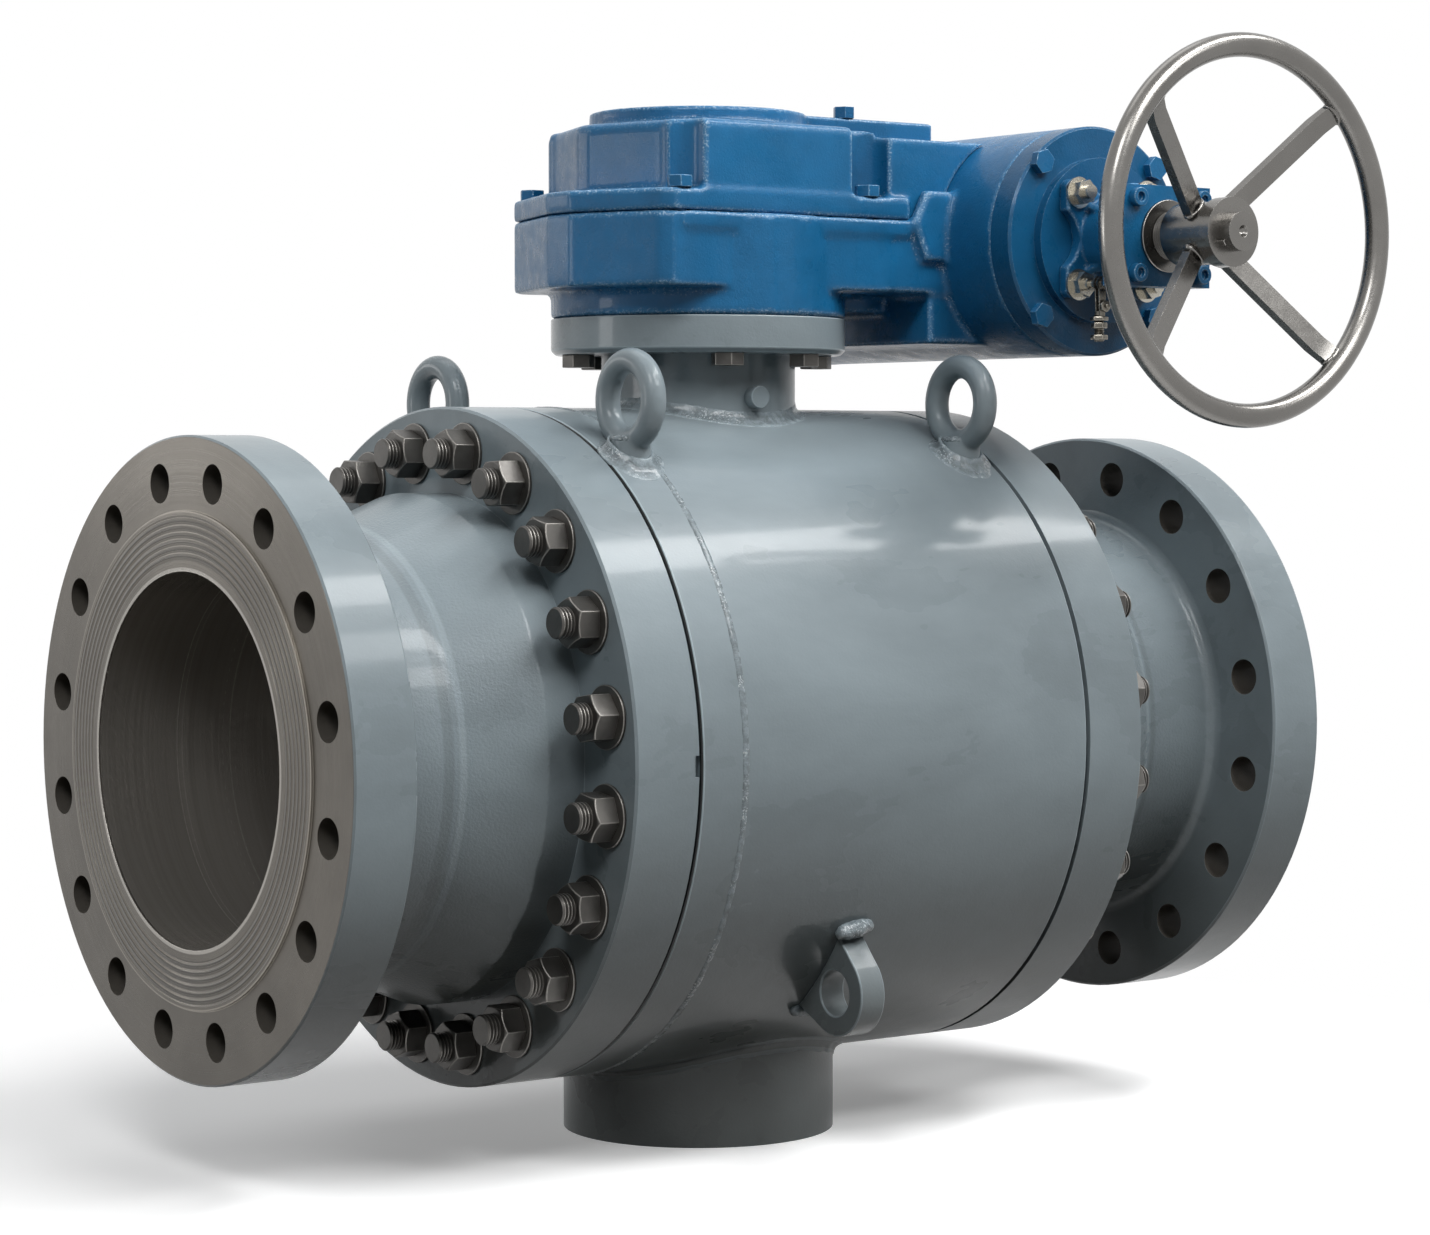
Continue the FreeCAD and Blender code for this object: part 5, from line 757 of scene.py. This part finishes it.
class StageOperator(bpy.types.Operator):
    """Floor, backdrop light, lamps and the camera of the photograph"""

    bl_idname = "valve.stage"
    bl_label = "Stage"

    def execute(self, context):
        sizes = context.scene.valve_camera
        eye = bpy.data.cameras.new("Camera")
        eye.lens = sizes.lens
        eye.sensor_width = 36.0
        eye.clip_end = 100.0
        camera = placed("Camera", eye)
        camera.matrix_world = (
            Matrix.Translation(Vector(sizes.place))
            @ Matrix.Rotation(sizes.yaw, 4, "Z")
            @ Matrix.Rotation(math.radians(90) - sizes.pitch, 4, "X")
        )
        context.scene.camera = camera
        self.floor()
        self.lamps(context)
        context.scene.view_settings.view_transform = "Standard"
        return {"FINISHED"}

    def seen(self, tree):
        """1 for rays from the camera, and for those that metal and glass send on."""
        path = tree.nodes.new("ShaderNodeLightPath")
        total = path.outputs["Is Camera Ray"]
        for name in ("Is Glossy Ray", "Is Transmission Ray"):
            both = tree.nodes.new("ShaderNodeMath")
            both.operation = "MAXIMUM"
            tree.links.new(total, both.inputs[0])
            tree.links.new(path.outputs[name], both.inputs[1])
            total = both.outputs[0]
        return total

    def floor(self):
        """White floor that keeps the shadow and fades to the backdrop, and that throws little light up."""
        mesh = bmesh.new()
        bmesh.ops.create_grid(mesh, x_segments=1, y_segments=1, size=40.0)
        floor = placed("floor", as_data(mesh, "floor"))
        paint = Paint("pale_floor")
        x, y = paint.axes()[:2]
        away = (x * x + y * y).root().spread(0.56, 1.05, 0.0, 1.0)
        paint.set(Base_Color=srgb(252, 252, 252), Roughness=0.9)
        paint.shader.inputs["Specular IOR Level"].default_value = 0.0
        white = paint.node("ShaderNodeEmission", {}, {"Color": (1.0, 1.0, 1.0), "Strength": 1.0})
        glow = paint.node("ShaderNodeEmission", {}, {"Color": (1.0, 1.0, 1.0), "Strength": 0.22})
        near = paint.node("ShaderNodeAddShader", {}, {0: Socket(paint, paint.shader.outputs[0]), 1: glow})
        pale = paint.node("ShaderNodeMixShader", {}, {0: away, 1: near, 2: white})
        dull = paint.node("ShaderNodeBsdfDiffuse", {}, {"Color": (0.050, 0.044, 0.036)})
        seen = Socket(paint, self.seen(paint.tree))
        mix = paint.node("ShaderNodeMixShader", {}, {0: seen, 1: dull, 2: pale})
        paint.tree.links.new(mix.socket, paint.end.inputs["Surface"])
        floor.data.materials.append(paint.material)

    def lamps(self, context):
        """White backdrop for what is seen, a soft sky that is brighter above, and six area lamps."""
        world = bpy.data.worlds.new("Studio")
        context.scene.world = world
        world.use_nodes = True
        tree = world.node_tree
        tree.nodes.clear()
        backdrop = tree.nodes.new("ShaderNodeBackground")
        backdrop.inputs["Color"].default_value = (1.0, 1.0, 1.0, 1.0)
        light = tree.nodes.new("ShaderNodeBackground")
        light.inputs["Color"].default_value = (0.95, 0.97, 1.0, 1.0)
        where = tree.nodes.new("ShaderNodeTexCoord")
        split = tree.nodes.new("ShaderNodeSeparateXYZ")
        upward = tree.nodes.new("ShaderNodeMapRange")
        upward.inputs["To Min"].default_value = 0.04
        upward.inputs["To Max"].default_value = 0.22
        tree.links.new(where.outputs["Generated"], split.inputs[0])
        tree.links.new(split.outputs[2], upward.inputs["Value"])
        tree.links.new(upward.outputs[0], light.inputs["Strength"])
        mix = tree.nodes.new("ShaderNodeMixShader")
        out = tree.nodes.new("ShaderNodeOutputWorld")
        tree.links.new(self.seen(tree), mix.inputs[0])
        tree.links.new(light.outputs[0], mix.inputs[1])
        tree.links.new(backdrop.outputs[0], mix.inputs[2])
        tree.links.new(mix.outputs[0], out.inputs["Surface"])
        self.lamp("key", (1.2, -1.8, 3.4), (0.1, 0.0, 0.35), 4.0, 0.6, 135.0)
        self.lamp("left_top", (-2.4, -2.2, 3.2), (-0.2, 0.0, 0.4), 1.2, 1.2, 60.0)
        self.lamp("front", (0.9, -3.3, 3.0), (0.1, 0.0, 0.45), 2.6, 0.7, 60.0)
        self.lamp("left", (-4.1, 1.6, 0.9), (-0.5, 0.0, 0.35), 1.0, 1.0, 22.0)
        self.lamp("flange_light", (-1.9, 2.6, 1.2), (-0.5, 0.0, 0.5), 1.2, 0.6, 8.0)
        self.lamp("back_top", (0.2, 1.2, 4.0), (0.0, 0.0, 0.4), 3.2, 1.6, 24.0)

    def lamp(self, name, place, aim, width, height, power):
        """A flat lamp at a place, turned to what it lights, with its power in watts."""
        data = bpy.data.lights.new(name, "AREA")
        data.shape = "RECTANGLE"
        data.size = width
        data.size_y = height
        data.energy = power
        lamp = placed(name, data)
        lamp.location = place
        lamp.rotation_mode = "QUATERNION"
        lamp.rotation_quaternion = (Vector(aim) - Vector(place)).to_track_quat("-Z", "Y")


class SolidsOperator(bpy.types.Operator):
    """Finishes on every solid that stays as it is"""

    bl_idname = "valve.solids"
    bl_label = "Plain solids"

    def execute(self, context):
        for node, solid in FRAME["nodes"].items():
            coat(solid, NODE_SLOT[node])
        return {"FINISHED"}


class PressureBodyOperator(bpy.types.Operator):
    """Body, closures, neck, disc, pedestal, eyes and lugs with broken edges"""

    bl_idname = "valve.pressure_body"
    bl_label = "Pressure body"

    def execute(self, context):
        edges = context.scene.valve_edges
        eased("body_shell", edges.machined, broad=0.28)
        for node in ("left_closure", "right_closure"):
            eased(node, edges.machined, broad=0.258, hole=self.bolt_hole)
        for node in ("mounting_disc", "pedestal", "side_lugs"):
            eased(node, edges.machined)
        eased("neck_plug", edges.fastener)
        rounded_casting("lifting_eyes", 0.0018, 4)
        return {"FINISHED"}

    def bolt_hole(self, face):
        """Is this face the wall of a bolt hole in an end flange?"""
        middle = face.calc_center_median()
        in_ring = 0.2085 < away_from_axis(middle) < 0.2425
        return abs(middle.x) > 0.4485 and in_ring and abs(face.normal.x) < 0.5


class WeldOperator(bpy.types.Operator):
    """Weld beads of the body, neck, pedestal, eyes and lugs"""

    bl_idname = "valve.welds"
    bl_label = "Welds"

    def execute(self, context):
        edges = context.scene.valve_edges
        seam = bead_ring(BODY_RADIUS - 0.0008, edges.bead * 0.38, edges.bead * 0.8, 360, 120, 1.0, 0.16)
        set_at(seam, (-0.160, 0.0, AXIS.z), (1, 0, 0))
        piece_from(seam, "body_seam_weld", "valve_body", "grey_paint", finish="weld_paint")
        neck = onto_body(self.fillet(NECK_RADIUS, edges.fillet * 0.85, 200, 0.0004, 2.0))
        piece_from(neck, "neck_weld", "valve_body", "grey_paint", finish="weld_paint")
        foot = onto_body(self.fillet(PEDESTAL_RADIUS, edges.fillet * 0.8, 240, 0.0004, 3.0), -1)
        piece_from(foot, "pedestal_weld", "valve_body", "grey_paint")
        self.eyes(edges)
        self.lugs()
        return {"FINISHED"}

    def fillet(self, radius, leg, steps, lumps, seed):
        """A hollow fillet weld round Z, as high as it is wide, with its two toes marked as edges."""
        shape = [(1.06, -0.03), (1.0, 0.04), (0.62, 0.12), (0.34, 0.27), (0.14, 0.54), (0.04, 1.0),
                 (-0.03, 1.06), (-0.35, 1.0), (-0.35, -0.2), (1.0, -0.2), (1.06, -0.03)]
        mesh = lathe([(high * leg, radius + out * leg) for high, out in shape], steps)
        layer = mesh.verts.layers.float.new("edge")
        for vert in mesh.verts:
            high, out = vert.co.z / leg, (math.hypot(vert.co.x, vert.co.y) - radius) / leg
            if high > 0.9 or out > 0.9:
                vert[layer] = 1.0
            across = Vector((vert.co.x, vert.co.y, 0.0)).normalized() + Vector((0, 0, 1))
            vert.co += across * lumps * 2.0 * noise.noise(vert.co * 90.0 + Vector((seed, 0, 0)))
        smoothed(mesh, 80)
        return mesh

    def eyes(self, edges):
        """A heavy bead round each collar, and a smaller one where the ring goes into it."""
        beads = bmesh.new()
        for k, (side, across) in enumerate(((1, 1), (1, -1), (-1, 1), (-1, -1))):
            foot = self.fillet(0.0185, 0.0092, 96, 0.0006, 4.0 + k)
            bmesh.ops.translate(foot, vec=(side * EYE_X, across * EYE_Y, 0.0), verts=foot.verts)
            joined_to(beads, onto_body(foot))
            root = bead_ring(0.0134, 0.0080, 0.0060, 56, 18, 9.0 + k, 0.1)
            set_at(root, (side * EYE_X, across * EYE_Y, AXIS.z + 0.2575))
            joined_to(beads, root)
        piece_from(beads, "eye_welds", "valve_body", "grey_paint", finish="weld_paint")

    def lugs(self):
        """A fat bead across the top of each lug, a smaller one at its foot and fillets along its sides."""
        low, high = (Vector(corner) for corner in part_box("side_lugs"))
        middle = (low.x + high.x) / 2
        half_bead = 0.0185
        beads = bmesh.new()
        for angle, size, lean in ((30.6, 0.0078, 0.14), (50.2, 0.0055, 0.0)):
            bead = bmesh.new()
            bmesh.ops.create_uvsphere(bead, u_segments=28, v_segments=20, radius=1.0)
            bmesh.ops.scale(bead, vec=(half_bead, size, size), verts=bead.verts)
            for vert in bead.verts:
                reach = abs(vert.co.x) / half_bead
                full = 1.0 + 0.6 * reach ** 4
                vert.co.y *= full
                vert.co.z = vert.co.z * full + vert.co.x * lean
                vert.co += vert.normal * 0.0012 * noise.noise(vert.co * 160.0)
            distance = BODY_RADIUS + 0.0025
            turn = math.radians(angle)
            place = (middle - 0.001, distance * math.cos(turn), AXIS.z - distance * math.sin(turn))
            bmesh.ops.translate(bead, vec=place, verts=bead.verts)
            joined_to(beads, bead)
        for side, size in ((low.x, 0.0085), (high.x, 0.0045)):
            strip = bmesh.new()
            section = bmesh.ops.create_circle(strip, cap_ends=True, segments=12, radius=size)["verts"]
            bmesh.ops.translate(strip, vec=(side, 0.0, BODY_RADIUS - size * 0.35), verts=section)
            below = Matrix.Rotation(math.radians(-121.0), 3, "X")
            bmesh.ops.rotate(strip, verts=section, cent=(0, 0, 0), matrix=below)
            bmesh.ops.spin(strip, geom=strip.verts[:] + strip.edges[:] + strip.faces[:], cent=(0, 0, 0),
                           axis=(-1, 0, 0), dvec=(0, 0, 0), angle=math.radians(19.0), steps=30,
                           use_merge=False, use_normal_flip=False, use_duplicate=False)
            bmesh.ops.recalc_face_normals(strip, faces=strip.faces)
            for vert in strip.verts:
                vert.co += vert.normal * 0.0012 * noise.noise(vert.co * 120.0)
            bmesh.ops.translate(strip, vec=(0, 0, AXIS.z), verts=strip.verts)
            joined_to(beads, strip)
        smoothed(beads, 80)
        mirrored(beads, (0, 1, 0))
        piece_from(beads, "lug_welds", "valve_body", "grey_paint", finish="weld_paint")


class StudOperator(bpy.types.Operator):
    """Closure studs with cut threads outside the nuts"""

    bl_idname = "valve.studs"
    bl_label = "Closure studs"

    def execute(self, context):
        sizes = context.scene.valve_hardware
        pitch, turns = 0.003175, 4
        inner_end = 0.161
        shank = sizes.stud - 0.0001
        start = sizes.nut_face - 0.0015
        profile = [(inner_end, 0.0), (inner_end, shank), (start - 0.001, shank)]
        for k in range(turns):
            foot = start + pitch * k
            profile += [(foot, sizes.stud - 0.0019), (foot + pitch * 0.38, sizes.stud),
                        (foot + pitch * 0.66, sizes.stud)]
        end = start + pitch * turns
        profile += [(sizes.stud_end, sizes.stud - 0.0013), (sizes.stud_end, 0.0)]
        stud = lathe(profile, 36)
        layer = stud.faces.layers.float.new("edge")
        for face in stud.faces:
            middle = face.calc_center_median()
            radius = math.hypot(middle.x, middle.y)
            if start < middle.z < end and radius > sizes.stud - 0.0003:
                face[layer] = 1.0
        smoothed(stud, 35)
        set_at(stud, (0.0, 0.0, AXIS.z + STUD_CIRCLE), (1, 0, 0))
        ring_of(stud, STUD_COUNT, AXIS, "X", math.radians(FIRST_STUD))
        mirrored(stud, (1, 0, 0))
        piece_from(stud, "closure_studs_cut", "valve_body", "dark_steel", "closure_studs")
        return {"FINISHED"}


class FastenerOperator(bpy.types.Operator):
    """Nuts, bolts and washers with broken edges"""

    bl_idname = "valve.fasteners"
    bl_label = "Fasteners"

    def execute(self, context):
        width = context.scene.valve_edges.fastener
        sizes = context.scene.valve_hardware
        eased("closure_nuts", width,
              refit=lambda mesh: self.refit(mesh, sizes.nut, sizes.nut_face, sizes.washer_face))
        eased("closure_washers", width,
              refit=lambda mesh: self.refit(mesh, sizes.washer, sizes.washer_face))
        for node in ("mounting_bolts", "grease_nipple", "plate_screws", "bracket_nuts"):
            eased(node, width)
        for node in ("cover_bolts", "end_cover_bolts", "rear_cover_bolts", "filler_plug"):
            eased(node, width * 1.8, 3)
        return {"FINISHED"}

    def refit(self, mesh, half_width, far, near=None):
        """Brings nuts or washers to their size, each about its own stud.

        Their near face stays where it is unless near is given."""
        reach = [abs(vert.co.x) for vert in mesh.verts]
        nearest, farthest = min(reach), max(reach)
        if near is None:
            near = nearest
        offsets = []
        for vert in mesh.verts:
            angle = math.atan2(vert.co.z - AXIS.z, vert.co.y)
            stud = round((math.degrees(angle) - FIRST_STUD) / STUD_STEP)
            turn = math.radians(FIRST_STUD + STUD_STEP * stud)
            centre = Vector((0.0, math.cos(turn), math.sin(turn))) * STUD_CIRCLE + AXIS
            offsets.append((vert, centre, Vector((0.0, vert.co.y, vert.co.z)) - centre))
        widest = max(abs(offset.dot((centre - AXIS).normalized())) for vert, centre, offset in offsets)
        for vert, centre, offset in offsets:
            share = (abs(vert.co.x) - nearest) / (farthest - nearest)
            along = math.copysign(near + (far - near) * share, vert.co.x)
            vert.co = centre + offset * (half_width / widest) + Vector((along, 0.0, 0.0))


class GearCasingOperator(bpy.types.Operator):
    """Blue castings of the gear operator"""

    bl_idname = "valve.gear_casing"
    bl_label = "Gear casing"

    def execute(self, context):
        edges = context.scene.valve_edges
        rounded_casting("gear_case", edges.cast * 1.2, edges.cast_rounds - 1)
        rounded_casting("gear_cover", edges.cast, edges.cast_rounds)
        # The end cover's finish is a darker copy of the blue, a painted shade.
        eased("drum_end_cover", edges.machined, finish="end_cover_painted_shade")
        eased("drum_rear_cover", edges.machined)
        mark = lathe([(-0.0004, 0.0058), (0.0006, 0.0062), (0.0006, 0.0074), (-0.0004, 0.0078)], 40)
        set_at(mark, (0.1685, -0.1212, AXIS.z + 0.444), (0, -1, 0))
        smoothed(mark, 60)
        piece_from(mark, "side_pad_ring", "valve_body", "blue_paint")
        return {"FINISHED"}


class BracketOperator(bpy.types.Operator):
    """Bearing bracket, its plate and the shaft's seal ring"""

    bl_idname = "valve.bracket"
    bl_label = "Bearing bracket"

    def execute(self, context):
        edges = context.scene.valve_edges
        rounded_casting("bearing_bracket", 0.0016, 4)
        eased("bracket_plate", edges.machined)
        eased("shaft_seal_ring", edges.fastener)
        return {"FINISHED"}


class WheelOperator(bpy.types.Operator):
    """Handwheel with welded spokes, and the thread on the shaft behind its hub"""

    bl_idname = "valve.wheel"
    bl_label = "Handwheel"

    def execute(self, context):
        edges = context.scene.valve_edges
        eased("handwheel", edges.machined)
        eased("worm_shaft", edges.fastener)
        eased("hub_key", edges.fastener)
        self.thread()
        self.spoke_welds()
        return {"FINISHED"}

    def thread(self):
        """Thread on the shaft behind the hub."""
        start, pitch, root, crest = 0.3032, 0.0026, 0.0199, 0.0207
        profile = [(start, root)]
        for k in range(6):
            foot = start + pitch * k
            profile += [(foot + pitch * 0.45, crest), (foot + pitch * 0.95, root)]
        collar = lathe(profile, 64)
        smoothed(collar, 40)
        set_at(collar, (DRUM.x, 0.0, DRUM.z), (0, -1, 0))
        piece_from(collar, "shaft_thread", BODY_OF["worm_shaft"], "wheel_steel", finish="dark_steel")

    def spoke_welds(self):
        """A bead at both ends of each spoke."""
        beads = bmesh.new()
        for reach, front, size in ((0.1445, 0.3925, 0.0090), (0.0275, 0.3525, 0.0098)):
            bead = bead_ring(size, 0.0042, 0.0040, 40, 11, reach * 40)
            bmesh.ops.scale(bead, vec=(1.0, 0.72, 1.0), verts=bead.verts)
            set_at(bead, (DRUM.x + reach, -front, DRUM.z), (1, 0, 0), math.radians(90))
            ring_of(bead, 4, (DRUM.x, -front, DRUM.z), "Y", math.radians(45))
            joined_to(beads, bead)
        smoothed(beads, 80)
        piece_from(beads, "spoke_welds", BODY_OF["handwheel"], "wheel_steel")


class LeverOperator(bpy.types.Operator):
    """Lock lever: a fork on a pin, a threaded end and its nuts"""

    bl_idname = "valve.lever"
    bl_label = "Lock lever"

    def execute(self, context):
        low, high = (Vector(corner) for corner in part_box("lock_lever"))
        x = (low.x + high.x) / 2
        top = high.z - 0.006
        lever = bmesh.new()
        for place in (-0.2615, -0.2570):
            joined_to(lever, self.cheek(x, place, top))
        middle = -0.258
        nuts = ((0.0070, 0.0035, 0.0285), (0.0062, 0.0050, 0.0335), (0.0066, 0.0042, 0.0440))
        for half, height, drop in nuts:
            nut = hexagon(half, height, 0.0007)
            joined_to(lever, set_at(nut, (x, middle, top - drop), (0, 0, -1), 0.3))
        rod = [(0.024, 0.0), (0.024, 0.0042)]
        for k in range(11):
            foot = 0.026 + 0.002 * k
            rod += [(foot, 0.0037), (foot + 0.001, 0.0044)]
        rod += [(0.0492, 0.0042), (0.0498, 0.0034), (0.0498, 0.0)]
        joined_to(lever, set_at(lathe(rod, 24), (x, middle, top), (0, 0, -1)))
        cross = (x + 0.0005, -0.2630, top - 0.0195)
        joined_to(lever, set_at(hexagon(0.0048, 0.0035, 0.0006), cross, (0, -1, 0), 0.2))
        bolt = [(-0.0060, 0.0), (-0.0060, 0.0022), (0.0058, 0.0022), (0.0066, 0.0015), (0.0066, 0.0)]
        joined_to(lever, set_at(lathe(bolt, 20), cross, (0, -1, 0)))
        smoothed(lever, 40)
        piece_from(lever, "lock_lever_fork", BODY_OF["lock_lever"], "zinc", "lock_lever", finish="dark_zinc")
        return {"FINISHED"}

    def cheek(self, x, place, top):
        """One side of the fork: an eye at the pin and a tapering bar below it."""
        half, inner, outer = 0.0009, 0.0036, 0.0062
        cheek = lathe([(-half, inner), (-half, outer), (half, outer), (half, inner), (-half, inner)], 32)
        bar = bmesh.new()
        bmesh.ops.create_cube(bar, size=1.0)
        bmesh.ops.scale(bar, vec=(0.0085, 0.0246, 0.0018), verts=bar.verts)
        bmesh.ops.translate(bar, vec=(0, 0.0169, 0), verts=bar.verts)
        for vert in bar.verts:
            if vert.co.y > 0.02:
                vert.co.x *= 0.7
        bmesh.ops.bevel(bar, geom=bar.edges[:], offset=0.0005, offset_type="OFFSET", affect="EDGES",
                        segments=2, profile=0.5, material=-1, clamp_overlap=True)
        joined_to(cheek, bar)
        turn = Matrix.Translation(Vector((x, place, top))) @ Matrix.Rotation(math.radians(-90), 4, "X")
        bmesh.ops.transform(cheek, matrix=turn, verts=cheek.verts)
        return cheek


class ValvePanel(bpy.types.Panel):
    """Makes the pieces one by one."""

    bl_label = "Ball valve"
    bl_idname = "VIEW3D_PT_ball_valve"
    bl_space_type = "VIEW_3D"
    bl_region_type = "UI"
    bl_category = "Valve"

    def draw(self, context):
        for name in GROUPS:
            group = getattr(context.scene, name)
            box = self.layout.box()
            for size in group.__annotations__:
                box.prop(group, size)
        for operator in MAKERS:
            self.layout.operator(operator.bl_idname)


GROUPS = {"valve_paints": PaintColours, "valve_edges": EdgeSizes, "valve_hardware": HardwareSizes,
          "valve_camera": CameraSizes}
MAKERS = (StageOperator, SolidsOperator, PressureBodyOperator, WeldOperator, StudOperator, FastenerOperator,
          GearCasingOperator, BracketOperator, WheelOperator, LeverOperator)


def register():
    for group in GROUPS.values():
        bpy.utils.register_class(group)
    for name, group in GROUPS.items():
        setattr(bpy.types.Scene, name, PointerProperty(type=group))
    for maker in MAKERS:
        bpy.utils.register_class(maker)
    bpy.utils.register_class(ValvePanel)


def unregister():
    bpy.utils.unregister_class(ValvePanel)
    for maker in reversed(MAKERS):
        bpy.utils.unregister_class(maker)
    for name in GROUPS:
        delattr(bpy.types.Scene, name)
    for group in reversed(list(GROUPS.values())):
        bpy.utils.unregister_class(group)


def main():
    register()
    bpy.ops.valve.stage()
    bpy.ops.valve.solids()
    bpy.ops.valve.pressure_body()
    bpy.ops.valve.welds()
    bpy.ops.valve.studs()
    bpy.ops.valve.fasteners()
    bpy.ops.valve.gear_casing()
    bpy.ops.valve.bracket()
    bpy.ops.valve.wheel()
    bpy.ops.valve.lever()


if __name__ == "__main__":
    main()
